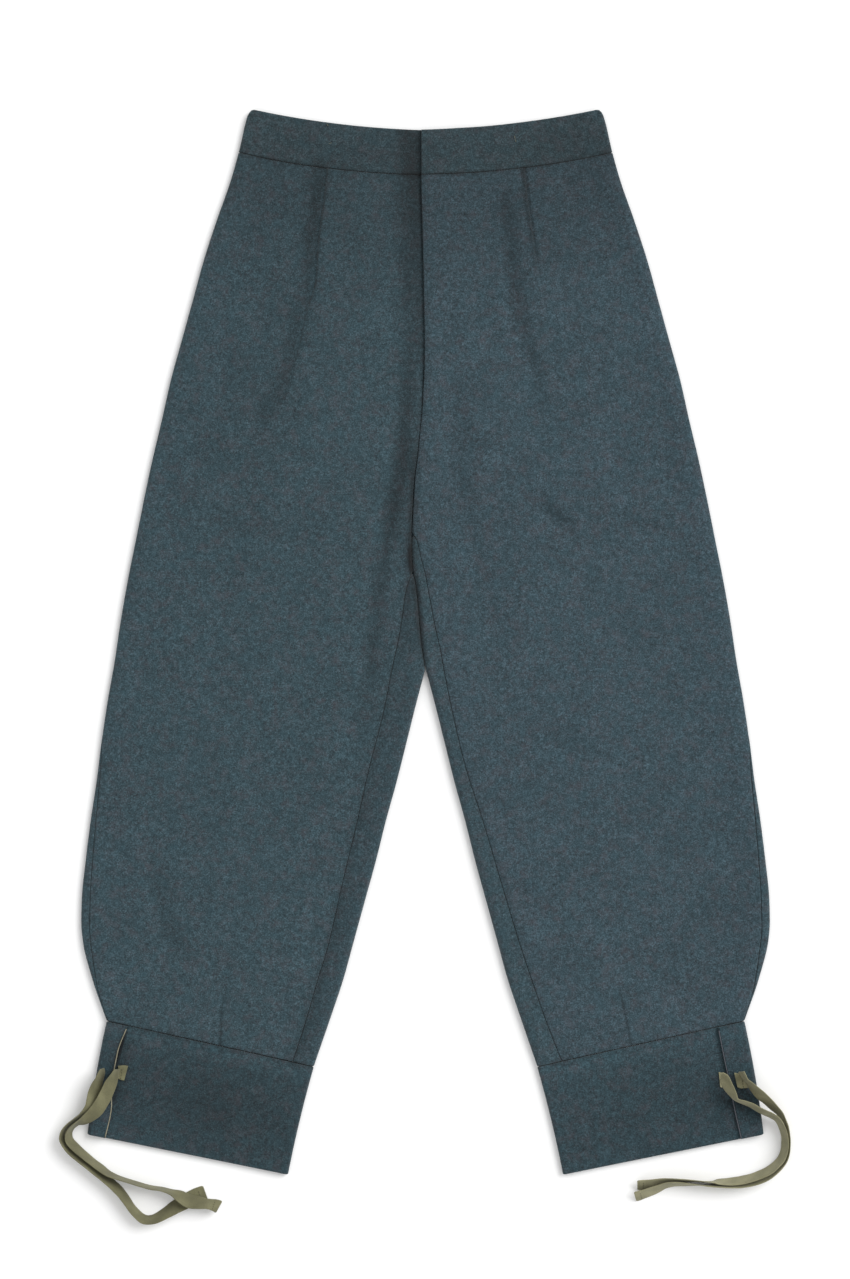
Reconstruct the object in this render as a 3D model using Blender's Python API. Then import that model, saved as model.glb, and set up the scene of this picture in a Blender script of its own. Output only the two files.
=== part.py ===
"""Wool trousers laid flat on their back, front side up, waist towards +Y.

Each cut piece is its own closed wall of cloth. The frame is in metres, +Z up,
with X to the viewer's right and the underside of the back pieces on Z = 0.
The tables below are in millimetres. The wearer's right leg lies at -X.
"""
import math

import bmesh
import bpy

MM = 0.001

# Cloth and seams
CLOTH = 2.0
DOUBLED_CLOTH = 2.6
SEAM_GAP = 0.3
HALF_GAP = SEAM_GAP / 2

# How the cloth lies: outer heights above the table
FOLD_RADIUS = 3.5
CUFF_FOLD_RADIUS = 4.2
EDGE_HEIGHT = 2 * FOLD_RADIUS
PANEL_HEIGHT = 5.2
BAND_HEIGHT = 6.0
EDGE_RUN = 35.0
QUARTER = FOLD_RADIUS * math.pi / 2

# Levels along the centre line
BAND_TOP = 512.6
WAIST_SEAM = 468.0
FLY_END = 272.0
APEX = -27.0
CUFF_SEAM = -424.4
CROTCH = {-1: 70.0, 1: 108.5}

# The fly and the waistband lie over a turned-under strip of this width
UNDERLAP = 31.0

# Half width of the flat garment at its outer edge: (y, x)
SIDE_EDGE = (
    (534, 177.2), (516, 181.4), (500, 184.8), (490, 187.2), (462, 195.1), (422, 209.1), (382, 222.1),
    (342, 233.1), (302, 244.1), (262, 255.1), (222, 264.1), (182, 273.6), (142, 282.1), (102, 290.1),
    (62, 298.1), (22, 305.1), (-18, 311.1), (-58, 318.1), (-98, 324.1), (-138, 329.1), (-178, 335.1),
    (-218, 340.1), (-258, 344.1), (-280, 344.6), (-298, 343.1), (-338, 333.1), (-368, 322.8),
    (-378.5, 319),
)

# Half width of the space between the legs below the apex: (y, x)
LEG_SPACE = (
    (-27, 0.2), (-58, 8.5), (-98, 18.5), (-138, 28.5), (-178, 39.5), (-218, 49.5), (-258, 60.5),
    (-298, 71.5), (-338, 82.5), (-368, 92.5), (-400, 103.5), (-416, 109), (-424.4, 111.8),
)

# How far a level's outer end lies above its inner end: (inner y, rise)
LEVEL_RISE = ((512.6, 21.4), (468, 22), (230, 20), (-27, 19), (-111, 23), (-196, 28), (-278, 35),
              (-346, 43), (-400, 45), (-424.4, 45.9))

# Centre front, then the crotch seam, then the seat seam where it shows on top: (y, x)
CENTRE_LINE = (
    (512.6, -4.3), (468, -4.3), (402, -2.8), (342, -1.5), (297, -0.8), (272, -1.2), (259, -1.9),
    (232, -3.4), (207, -5.9), (188, -7.8), (163, -10.9), (131, -12.8), (106, -13.8), (82, -13.3),
    (70, -12.2), (57, -9.7), (40, -7.7), (13, -5.5), (-2, -3.9), (-18, -1.6), (-27, 0),
)

# Inseams, which lie on top inside the leg's edge: (y, x)
INSEAM = {
    -1: ((70, -12.5), (60, -17.1), (46, -20.6), (27, -23.2), (6, -26.6), (-28, -33.9), (-62, -40.5),
         (-94, -48.1), (-121, -55.4), (-178, -68.2), (-240, -83), (-301, -96.9), (-338, -108),
         (-384, -121.4), (-424, -134.6)),
    1: ((108.5, -13.3), (104, -9.6), (82, -4), (68, -0.3), (51, 2.8), (35, 5.8), (16, 9.4), (-7, 14.6),
        (-31, 18.9), (-69, 26.6), (-125, 40), (-178, 57.1), (-240, 75.5), (-300, 93.6), (-358, 113.1),
        (-385, 122.8), (-424, 138.2)),
}

# How far the side seam comes round the edge onto the top: (outer y, inset)
SIDE_SEAM_INSET = ((490, 0), (-90, 0), (-120, 2), (-180, 5.5), (-220, 7.2), (-265, 8.8), (-305, 8),
                   (-330, 5), (-350, 2.2), (-378.5, 1))

# Outer height at the centre line, wearer's right under wearer's left: (y, z)
CENTRE_HEIGHT = {
    -1: ((468, 4.5), (311, 4.3), (272, 4.3), (245, 4.8), (215, 5.2), (185, 5.6), (155, 6.1), (130, 6.6),
         (107, 7)),
    1: ((468, 7.2), (311, 6.8), (272, 6.7), (245, 6.3), (215, 6), (185, 6), (155, 6.3), (130, 6.7),
        (107, 7)),
}
BAND_CENTRE_HEIGHT = {-1: 5.5, 1: 8.4}

# Width of the level strip beside the centre line before the height settles: (y, width)
CENTRE_STRIP = {-1: ((468, 2), (107, 0)), 1: ((468, 33), (285, 33), (215, 4), (107, 0))}

# How far the top layer rolls down at the centre: (y, degrees)
CENTRE_ROLL = ((230, 0), (205, 6), (185, 15), (155, 35), (130, 60), (107, 80), (88, 90))

# How far the under layer rolls up at the centre, from flat to the closed leg: (y, degrees)
SEAT_ROLL = ((APEX + 7, 0), (APEX + 3.5, 30), (APEX + 1.5, 60), (APEX, 90))

# Dip of the waist seam and the waistband's edge below their straight chords
WAIST_DIP = 5.0
BAND_TOP_DIP = 4.1
WAIST_DIP_RUN = 110.0

# Pressed pleats: the side nearer the fly stands proud, (y, x, height of the step)
PLEAT = {
    -1: ((475, -99.1, 1.6), (447, -101.8, 2.0), (402, -107.8, 2.0), (361, -110.8, 1.7),
         (330, -119.8, 1.2), (290, -128.8, 0.8), (257, -136.8, 0.5), (210, -159.8, 0.2),
         (150, -172.0, 0.0), (-200, -192.0, 0.0), (-402, -204.0, 0.0)),
    1: ((475, 99.7, 1.2), (446, 102.4, 1.6), (413, 107.4, 1.6), (376, 112.3, 1.1),
        (345, 118.2, 0.6), (300, 125.2, 0.3), (240, 135.2, 0.1), (150, 160.0, 0.0),
        (-200, 192.0, 0.0), (-402, 204.0, 0.0)),
}
PLEAT_STEP = 1.6
PLEAT_FADE = 26.0

# Soft folds of the front: half width, then (x, y, height) down each one
FOLDS = (
    (9, ((-23, 293, 0), (-25, 250, -0.8), (-31, 190, -0.9), (-37, 120, -0.9), (-46, 60, -0.8),
         (-54, -30, -0.8), (-66, -100, -0.6), (-76, -150, 0))),
    (7, ((-9, 285, 0), (-9, 240, 0.5), (-14, 200, 0.5), (-22, 140, 0))),
    (16, ((-242, 138, 0), (-200, 128, -0.7), (-160, 122, -0.8), (-110, 130, -0.4), (-80, 136, 0))),
    (12, ((-110, 330, 0), (-120, 280, -0.6), (-140, 230, -0.7), (-160, 190, 0))),
    (13, ((-272, -160, 0), (-262, -240, -0.7), (-243, -300, -0.8), (-216, -325, -0.6), (-195, -330, 0))),
    (12, ((76, 445, 0), (88, 400, -0.6), (95, 330, -0.8), (112, 270, -0.6), (124, 225, 0))),
    (14, ((36, 275, 0), (37, 210, -0.6), (47, 135, -0.8), (60, 75, -0.8), (78, 0, -0.7),
          (95, -50, 0))),
    (15, ((78, -30, 0), (105, -75, -0.8), (145, -100, -0.7), (185, -125, 0))),
    (9, ((104, 152, 0), (124, 126, -0.8), (150, 108, 0))),
    (24, ((82, 96, 0), (117, 30, 0.9), (155, -10, 1.0), (212, -110, 0.5), (235, -150, 0))),
)

# Levels that the leg pieces are worked out at, by their inner ends
LEVELS = (468, 425, 385, 345, 311, 272, 245, 215, 185, 155, 130, 107, 88, 67.5, 42, 10, APEX + 7,
          APEX + 3.5, APEX + 1.5, APEX, -38, -60, -95, -140, -185, -225, -262, -298, -325, -350, -374,
          -400, CUFF_SEAM)

# The cuffs: ends of the seam and of the hem, bulge of each edge, width of the lap by quarters
CUFF_OUTER = ((319.0, -378.7), (338.3, -492.0), 1.5)
CUFF_INNER = ((111.8, -424.6), (137.6, -532.4), 1.2)
CUFF_LAP = {-1: (21.5, 17.0, 17.0, 20.5, 18.0), 1: (27.0, 27.3, 27.0, 25.5, 22.8)}
CUFF_UNDERLAP_END = 6.5
CUFF_LAPPED_HEIGHT = 5.5
CUFF_MARGIN = 9.0

# The ties: twill tape, 15 mm wide
TAPE_WIDTH = 15.0
TAPE_CLOTH = 1.0
TAPE_STEP = 6.5

# Routes of the ties: (x, y, height of the lower edge, lean in degrees, left edge up is positive)
TIES = {
    "tie_right_front": (
        (-307.7, -425.9, 8, -74), (-310.5, -432.6, 9.2, -58), (-314, -440.1, 9.8, -38),
        (-318, -449.3, 10.3, -30), (-322.2, -457.6, 10.4, -29), (-329.7, -468.4, 10.4, -28),
        (-340.2, -476.8, 8.9, -51), (-348.2, -480.7, 5.4, -72), (-354.2, -486.2, 2.6, -72),
        (-356.6, -491.9, 1.5, -68), (-355.2, -498.9, 0.8, -64), (-346, -508.4, 0.4, -66),
        (-332.5, -519.6, 0.3, -70), (-323.8, -526.1, 0.3, -70), (-316.7, -531.1, 0.3, -76),
        (-306.8, -535.2, 0.3, -82), (-296.8, -538.4, 0.3, -84), (-285.8, -541.8, 0.3, -83),
        (-274.8, -544.8, 0.3, -83), (-263.8, -546.4, 0.6, -83), (-254.3, -549.3, 1.4, -76),
        (-245.8, -553.3, 2, -50), (-236.8, -558.5, 2.6, -36), (-226.8, -560, 2.6, -42),
        (-217.8, -561, 2.4, -56), (-210.8, -562.6, 1.6, -46), (-206.4, -564.8, 0.5, -36),
    ),
    "tie_right_back": (
        (-322.5, -425.1, 8.8, -80), (-323.2, -429.3, 8.9, -67), (-325.5, -435.9, 8.9, -60),
        (-328.3, -442.6, 9, -45), (-330.2, -449.3, 9.1, -33), (-331.8, -457.6, 9.1, -30),
        (-334.3, -465.1, 9, -38), (-342, -472.4, 7, -58), (-349.3, -477.4, 4.6, -66),
        (-355.9, -482.8, 1.9, -66), (-361, -489, 0.5, -66), (-362.5, -494.6, 0.3, -66),
        (-361.3, -498.8, 0.3, -65), (-356.3, -505.9, 0.3, -62), (-348.3, -513.3, 0.3, -62),
        (-340, -519.8, 0.3, -62), (-331.7, -526.4, 0.3, -62), (-323.3, -533.1, 0.3, -62),
        (-314.8, -540.3, 0.3, -61), (-306.3, -548.4, 0.3, -61), (-299.3, -557.3, 0.3, -64),
        (-293.7, -565.6, 0.3, -65), (-288, -571.9, 0.3, -64), (-282.8, -576.1, 0.3, -62),
        (-277.2, -577.4, 0.3, -62), (-269.5, -575.9, 0.3, -56), (-260.2, -570.9, 0.3, -48),
        (-250.3, -564.8, 0.3, -33), (-239.7, -559.3, 0.3, -8), (-231.8, -555.1, 0.3, 0),
        (-220.5, -550.9, 0.3, 0),
    ),
    "tie_left_front": (
        (294.7, -433.8, 6, 50), (297.5, -434.6, 7.2, 48), (301.7, -442.8, 9.1, 49),
        (306, -449.9, 9, 59), (310, -455.9, 8.8, 74), (317.5, -458.8, 8.8, 70), (325, -461.6, 8.8, 68),
        (331.3, -465.3, 8.9, 66), (338, -468.9, 7.4, 65), (345.3, -472.3, 5.3, 65),
        (351.8, -476.9, 3.4, 68), (355.8, -483.9, 2.3, 68), (358.7, -492.8, 1.7, 68),
        (359.2, -500.9, 1.6, 68), (358.3, -508.8, 1.6, 68), (355.5, -515.9, 1.6, 68),
        (350.3, -521.9, 1.6, 68), (343.7, -527.4, 1.6, 66), (335.2, -531.6, 1.6, 66),
        (325.5, -535.1, 1.6, 66), (314.2, -537.8, 1.1, 66), (302.8, -539.1, 0.6, 70),
        (292.8, -539.1, 0.3, 78), (287.3, -539.3, 0.3, 92), (275.3, -538.8, 0.3, 100),
        (262.3, -538.4, 0.3, 108), (249.3, -538.8, 0.3, 118), (237.3, -539.9, 0.3, 130),
        (225.3, -541.8, 0.3, 136), (211.8, -542.9, 0.3, 136),
    ),
    "tie_left_back": (
        (314.8, -427.9, 10, 70), (319.2, -435.9, 9.9, 74), (322.2, -438.8, 9.8, 70),
        (327.3, -444.6, 9.5, 58), (333.7, -451.3, 8.4, 48), (340.7, -457.3, 6.1, 54),
        (347.7, -464.4, 3.6, 58), (353.8, -470.6, 1.7, 66), (356.7, -476.8, 0.8, 67),
        (359.5, -484.3, 0.4, 67), (361.2, -494.3, 0.3, 68), (361.3, -502.6, 0.3, 68),
        (360.5, -509.9, 0.3, 68), (358, -517.4, 0.3, 68), (353.3, -523.9, 0.3, 68),
        (346.3, -530.6, 0.3, 68), (338.3, -535.6, 0.3, 68), (330.3, -538.6, 0.3, 68),
        (320.7, -540.8, 0.3, 68), (310.8, -541.9, 0.3, 70), (301.2, -542.4, 0.3, 76),
        (287.8, -542.8, 0.3, 86), (274.5, -542.6, 0.3, 98), (261.2, -541.9, 0.3, 108),
        (249.5, -541.6, 0.3, 114), (239.7, -543.1, 0.3, 120), (232.8, -546.2, 0.3, 127),
        (226, -548.9, 0.3, 132), (217.5, -551.9, 0.3, 134), (209.5, -554.3, 0.3, 136),
    ),
}

# Colours of the finished pieces
WOOL = (0.046, 0.073, 0.090, 1.0)
TAPE = (0.185, 0.178, 0.094, 1.0)


def smoothstep(t):
    t = min(max(t, 0.0), 1.0)
    return t * t * (3 - 2 * t)


def read(table, at, column=1):
    """Read a table of (position, value, ...) rows at one position, on a smooth curve."""
    rows = sorted(table)
    if at <= rows[0][0]:
        return rows[0][column]
    if at >= rows[-1][0]:
        return rows[-1][column]
    k = 0
    while rows[k + 1][0] < at:
        k += 1
    x0, x1 = rows[k][0], rows[k + 1][0]
    y0, y1 = rows[k][column], rows[k + 1][column]
    chord = (y1 - y0) / (x1 - x0)

    def slope(j):
        if j <= 0 or j >= len(rows) - 1:
            return chord
        before = (rows[j][column] - rows[j - 1][column]) / (rows[j][0] - rows[j - 1][0])
        after = (rows[j + 1][column] - rows[j][column]) / (rows[j + 1][0] - rows[j][0])
        if before * after <= 0:
            return 0.0
        return 2 * before * after / (before + after)

    t = (at - x0) / (x1 - x0)
    width = x1 - x0
    h00 = (1 + 2 * t) * (1 - t) ** 2
    h10 = t * (1 - t) ** 2
    h01 = t * t * (3 - 2 * t)
    h11 = t * t * (t - 1)
    return h00 * y0 + h10 * width * slope(k) + h01 * y1 + h11 * width * slope(k + 1)


def fold_relief(x, y):
    """Height that the soft folds add at one point of the front."""
    total = 0.0
    for half_width, line in FOLDS:
        best = None
        for (x0, y0, z0), (x1, y1, z1) in zip(line, line[1:]):
            dx, dy = x1 - x0, y1 - y0
            t = ((x - x0) * dx + (y - y0) * dy) / (dx * dx + dy * dy)
            t = min(max(t, 0.0), 1.0)
            away = math.hypot(x - x0 - t * dx, y - y0 - t * dy)
            if best is None or away < best[0]:
                best = (away, z0 + t * (z1 - z0))
        away, height = best
        if away < 2 * half_width:
            total += height * (0.5 + 0.5 * math.cos(math.pi * away / (2 * half_width)))
    return total


def pleat_relief(side, x, y):
    """Height that the pressed pleat adds: a step up towards the fly that fades away from it."""
    step = read(PLEAT[side], y, 2)
    towards_fly = side * (read(PLEAT[side], y) - x)
    if towards_fly > 0:
        rise = math.exp(-towards_fly / PLEAT_FADE)
    else:
        rise = 0.0
    return step * rise * smoothstep(towards_fly / PLEAT_STEP)


class Level:
    """One level across half of the garment, from the outer edge to the centre."""

    def __init__(self, side, y, dip=None, shift=0.0):
        self.side = side
        self.level_y = y
        self.shift = shift
        self.inner_y = y + shift
        self.outer_y = y + read(LEVEL_RISE, y) + shift
        self.below_apex = y <= APEX + 0.01
        self.outer = (side * read(SIDE_EDGE, self.outer_y), self.outer_y)
        fade = smoothstep(1 - (WAIST_SEAM - y) / WAIST_DIP_RUN)
        self.dip = WAIST_DIP * fade if dip is None else dip
        self.roll = math.radians(read(CENTRE_ROLL, y))
        self.seat_roll = math.radians(read(SEAT_ROLL, y)) if y < APEX + 8 else 0.0
        space = side * read(LEG_SPACE, self.inner_y)
        self.top_centre = (space if self.below_apex else read(CENTRE_LINE, self.inner_y), self.inner_y)
        self.under_centre = (space if self.below_apex else 0.0, self.inner_y)
        self.seam = self.side_seam()
        self.inseam = self.inseam_distance()

    def length(self, centre):
        return math.dist(self.outer, centre)

    def place(self, from_outer, centre):
        """Point on the level at a distance from the outer edge."""
        t = from_outer / self.length(centre)
        x = self.outer[0] + t * (centre[0] - self.outer[0])
        y = self.outer[1] + t * (centre[1] - self.outer[1])
        t = min(max(t, 0.0), 1.0)
        return x, y - self.dip * 4 * t * (1 - t)

    def side_seam(self):
        """Arc from the outer edge's extreme to the side seam."""
        inset = read(SIDE_SEAM_INSET, self.outer_y)
        if inset < FOLD_RADIUS:
            return FOLD_RADIUS * math.acos(1 - inset / FOLD_RADIUS)
        return inset - FOLD_RADIUS + QUARTER

    def inseam_distance(self):
        """Arc from the centre to the inseam, 0 above the crotch."""
        if self.inner_y >= CROTCH[self.side]:
            return 0.0
        length = self.length(self.top_centre)
        low, high = 0.0, 60.0
        for _ in range(30):
            middle = (low + high) / 2
            x, y = self.place(length - middle, self.top_centre)
            if self.side * (x - read(INSEAM[self.side], y)) > 0:
                high = middle
            else:
                low = middle
        return self.arc_of(low)

    def arc_of(self, distance):
        """Arc along the rolled centre edge for a distance in plan."""
        reach = FOLD_RADIUS * math.sin(self.roll)
        if distance >= reach:
            return distance - reach + FOLD_RADIUS * self.roll
        return FOLD_RADIUS * (self.roll - math.asin(math.sin(self.roll) - distance / FOLD_RADIUS))

    def inward(self, centre, sideways, upwards):
        """Direction into the cloth, from a part towards the centre and a part upwards."""
        length = self.length(centre)
        x = (centre[0] - self.outer[0]) / length
        y = (centre[1] - self.outer[1]) / length
        return x * sideways, y * sideways, upwards

    def rolled(self, arc, roll):
        """Distance in plan, drop and remaining angle at an arc from a rolled centre edge."""
        bent = FOLD_RADIUS * roll
        if arc >= bent:
            return arc - bent + FOLD_RADIUS * math.sin(roll), 0.0, 0.0
        angle = roll - arc / FOLD_RADIUS
        distance = FOLD_RADIUS * (math.sin(roll) - math.sin(angle))
        return distance, FOLD_RADIUS * (1 - math.cos(angle)), angle

    def flat(self, from_outer, height):
        """Top layer's outer point at a plan distance from the outer edge."""
        length = self.length(self.top_centre)
        x, y = self.place(from_outer, self.top_centre)
        return (x, y, height(x, y, from_outer, length - from_outer)), (0.0, 0.0, -1.0)

    def top(self, arc, height):
        """Top layer's outer point at an arc from the centre."""
        distance, drop, angle = self.rolled(arc, self.roll)
        length = self.length(self.top_centre)
        x, y = self.place(length - distance, self.top_centre)
        point = x, y, height(x, y, length - distance, distance) - drop
        return point, self.inward(self.top_centre, -math.sin(angle), -math.cos(angle))

    def under(self, arc):
        """Under layer's outer point at an arc from the centre."""
        distance, rise, angle = self.rolled(arc, self.seat_roll)
        x, y = self.place(self.length(self.under_centre) - distance, self.under_centre)
        return (x, y, rise), self.inward(self.under_centre, -math.sin(angle), math.cos(angle))

    def table(self, from_outer):
        """Under layer's outer point at a plan distance from the outer edge, on the table."""
        x, y = self.place(from_outer, self.under_centre)
        return (x, y, 0.0), (0.0, 0.0, 1.0)

    def edge(self, arc, height):
        """Outer point near the outer fold, at an arc from its extreme, up is positive."""
        centre = self.top_centre if arc > 0 else self.under_centre
        if abs(arc) < QUARTER:
            angle = arc / FOLD_RADIUS
            x, y = self.place(FOLD_RADIUS * (1 - math.cos(angle)), centre)
            point = x, y, FOLD_RADIUS * (1 + math.sin(angle))
            return point, self.inward(centre, math.cos(angle), -math.sin(angle))
        distance = FOLD_RADIUS + abs(arc) - QUARTER
        return self.table(distance) if arc < 0 else self.flat(distance, height)

    def front_distances(self):
        """Plan distances of the columns between the outer fold and the centre edge."""
        length = self.length(self.top_centre)
        pleat = length
        for _ in range(6):
            x, y = self.place(pleat, self.top_centre)
            pleat += self.side * (x - read(PLEAT[self.side], y))
        outer = self.seam + 28 - QUARTER + FOLD_RADIUS
        inner = length - self.inseam - 40
        spread = [outer + (pleat - outer) * t for t in (0.36, 0.7)]
        spread += [pleat - 1.0, pleat + 1.8]
        return spread + [pleat + (inner - pleat) * t for t in (0.36, 0.7)]

    def under_distances(self):
        """Plan distances of the columns between the outer fold and the centre, on the table."""
        bent = FOLD_RADIUS * (self.seat_roll - math.sin(self.seat_roll))
        end = self.length(self.under_centre) - QUARTER + bent
        return [FOLD_RADIUS + (end - FOLD_RADIUS) * t for t in (0.2, 0.45, 0.7, 0.88)]


def settle(edge, middle, centre, out, inward, strip, run=EDGE_RUN):
    """Height between the outer edge, the middle of the panel and the centre line."""
    near_edge = 1 - smoothstep(out / run)
    near_centre = 1 - smoothstep((inward - strip) / run)
    return middle + (edge - middle) * near_edge + (centre - middle) * near_centre


def panel_height(side):
    """Height function of the front panel on one side."""
    def height(x, y, out, inward):
        centre = read(CENTRE_HEIGHT[side], y)
        strip = read(CENTRE_STRIP[side], y)
        base = settle(EDGE_HEIGHT, PANEL_HEIGHT, centre, out, inward, strip)
        clear = smoothstep(out / 12) * smoothstep(inward / 6)
        return base + clear * (fold_relief(x, y) + pleat_relief(side, x, y))
    return height


def band_height(side):
    """Height function of the waistband on one side."""
    def height(x, y, out, inward):
        strip = 33.0 if side > 0 else 2.0
        return settle(EDGE_HEIGHT, BAND_HEIGHT, BAND_CENTRE_HEIGHT[side], out, inward, strip)
    return height


def material(name, colour, roughness):
    made = bpy.data.materials.new(name)
    made.use_nodes = True
    shader = made.node_tree.nodes["Principled BSDF"]
    shader.inputs["Base Color"].default_value = colour
    shader.inputs["Roughness"].default_value = roughness
    shader.inputs["Metallic"].default_value = 0.0
    return made


class Sheet:
    """A wall of cloth: its outer surface row by row, and its inner surface a thickness inside."""

    def __init__(self, name, thickness):
        self.name = name
        self.thickness = thickness
        self.mesh = bmesh.new()
        self.inner = {}

    def row(self, points):
        made = []
        for point, inward in points:
            vert = self.mesh.verts.new([c * MM for c in point])
            self.inner[vert] = [(c + d * self.thickness) * MM for c, d in zip(point, inward)]
            made.append(vert)
        return made

    def join(self, upper, lower):
        for k in range(len(upper) - 1):
            self.mesh.faces.new((upper[k], lower[k], lower[k + 1], upper[k + 1]))

    def finish(self, colour_of, reverse):
        mesh = self.mesh
        if reverse:
            bmesh.ops.reverse_faces(mesh, faces=mesh.faces)
        bmesh.ops.triangulate(mesh, faces=mesh.faces)
        outside = list(mesh.faces)
        rims = [edge.link_loops[0] for edge in mesh.edges if edge.is_boundary]
        rims = [(loop.vert, loop.link_loop_next.vert) for loop in rims]
        inner = {vert: mesh.verts.new(place) for vert, place in self.inner.items()}
        for face in outside:
            mesh.faces.new([inner[vert] for vert in reversed(face.verts)])
        for here, there in rims:
            if here.co.x + here.co.y > there.co.x + there.co.y:
                mesh.faces.new((there, here, inner[there]))
                mesh.faces.new((here, inner[here], inner[there]))
            else:
                mesh.faces.new((there, here, inner[here]))
                mesh.faces.new((there, inner[here], inner[there]))
        data = bpy.data.meshes.new(self.name)
        mesh.to_mesh(data)
        mesh.free()
        data.shade_smooth()
        data.set_sharp_from_angle(angle=math.radians(50))
        piece = bpy.data.objects.new(self.name, data)
        bpy.context.collection.objects.link(piece)
        data.materials.append(colour_of)
        return piece


def side_name(side):
    return "right" if side < 0 else "left"


def leg_levels(side):
    """Levels of one leg, kept half a seam's gap inside the waist seam and the cuff seam."""
    made = []
    for y in LEVELS:
        shift = -HALF_GAP if y == LEVELS[0] else HALF_GAP if y == LEVELS[-1] else 0.0
        made.append(Level(side, y, shift=shift))
    return made


def front_row(level, height):
    """Points of a front piece across one level, from the side seam to the fly or inseam."""
    start = level.seam + HALF_GAP
    points = [level.edge(start + arc, height) for arc in (0, 2.6, 5.4, 13, 28)]
    points += [level.flat(distance, height) for distance in level.front_distances()]
    last = level.inseam + HALF_GAP
    return points + [level.top(last + arc, height) for arc in (38, 24, 13, 6, 3, 0)]


def underlap_row(level, z):
    """Points of the strip that the wearer's right front carries on under the left."""
    other = Level(1, level.level_y, dip=level.dip, shift=level.shift)
    length = other.length(other.top_centre)
    points = []
    for reach in (UNDERLAP / 3, UNDERLAP):
        x, y = other.place(length - reach, other.top_centre)
        points.append(((x, y, z), (0.0, 0.0, -1.0)))
    return points


def make_front(side, wool):
    """Front panel: side seam to centre front above the crotch, to the inseam below it."""
    height = panel_height(side)
    sheet = Sheet("front_" + side_name(side), CLOTH)
    above = None
    for level in leg_levels(side):
        points = front_row(level, height)
        row = sheet.row(points)
        lap = []
        if side < 0 and level.level_y >= FLY_END:
            lap = sheet.row(underlap_row(level, points[-1][0][2]))
        if above:
            sheet.join(above[0], row)
            if lap:
                sheet.join([above[0][-1]] + above[1], [row[-1]] + lap)
        above = (row, lap)
    return sheet.finish(wool, reverse=side > 0)


def make_back(side, wool):
    """Back panel: flat underneath, round the outer edge, and round the inner edge to the inseam."""
    height = panel_height(side)
    sheet = Sheet("back_" + side_name(side), CLOTH)
    folded = 7
    above = None
    for level in leg_levels(side):
        start = level.seam - HALF_GAP
        arcs = [start + (-QUARTER - start) * t / folded for t in range(folded + 1)]
        points = [level.edge(arc, height) for arc in arcs]
        points += [level.table(distance) for distance in level.under_distances()]
        gap = 0.0 if level.below_apex else HALF_GAP
        points += [level.under(arc + gap) for arc in (QUARTER, QUARTER * 2 / 3, QUARTER / 3, 0)]
        under = sheet.row(points)
        flap = []
        if level.inseam > 1.0:
            end = level.inseam - HALF_GAP
            bend = min(QUARTER, 0.45 * end)
            arcs = (gap, gap + bend / 2, gap + bend, gap + (bend + end) / 2, end)
            if level.below_apex:
                flap = [under[-1]] + sheet.row([level.top(arc, height) for arc in arcs[1:]])
            else:
                flap = sheet.row([level.top(arc, height) for arc in arcs])
        if above:
            sheet.join(above[0], under)
            if above[1] and flap:
                sheet.join(above[1], flap)
        above = (under, flap)
    return sheet.finish(wool, reverse=side < 0)


def band_levels(side):
    """Levels of the waistband, from its top edge to the waist seam."""
    made = []
    for t in (0.0, 0.5, 1.0):
        y = BAND_TOP + (WAIST_SEAM - BAND_TOP) * t
        dip = BAND_TOP_DIP + (WAIST_DIP - BAND_TOP_DIP) * t
        made.append(Level(side, y, dip=dip, shift=HALF_GAP if t == 1.0 else 0.0))
    return made


def rounded(points, amounts):
    """Lower the outermost points of the band's top edge, for its rounded corner."""
    lowered = []
    for ((x, y, z), inward), amount in zip(points, amounts):
        lowered.append(((x, y - amount, z), inward))
    return lowered + points[len(amounts):]


def make_band_front(side, wool):
    """Front waistband, from the side seam to the centre, doubled cloth."""
    height = band_height(side)
    sheet = Sheet("waistband_front_" + side_name(side), DOUBLED_CLOTH)
    above = None
    for level in band_levels(side):
        points = front_row(level, height)
        if side < 0:
            points += underlap_row(level, points[-1][0][2])
        if above is None:
            points = rounded(points, (5.0, 3.4, 0.9))
        row = sheet.row(points)
        if above:
            sheet.join(above, row)
        above = row
    return sheet.finish(wool, reverse=side > 0)


def make_band_back(wool):
    """Back waistband: one flat piece, turned up at both sides."""
    sheet = Sheet("waistband_back", DOUBLED_CLOTH)
    above = None
    for right, left in zip(band_levels(-1), band_levels(1)):
        halves = []
        for level in (right, left):
            half = [level.edge(-HALF_GAP - arc, None) for arc in (0, 1.8, 3.6, QUARTER)]
            half += [level.table(distance) for distance in level.under_distances()]
            halves.append(rounded(half, (5.0, 4.4, 2.4, 0.9)) if above is None else half)
        middle = right.table(right.length(right.under_centre))
        row = sheet.row(halves[0] + [middle] + halves[1][::-1])
        if above:
            sheet.join(above, row)
        above = row
    return sheet.finish(wool, reverse=True)


def along(edge, t):
    """Point on a cuff's edge, with its bulge."""
    (x0, y0), (x1, y1), bulge = edge
    return x0 + (x1 - x0) * t + bulge * 4 * t * (1 - t), y0 + (y1 - y0) * t


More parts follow.
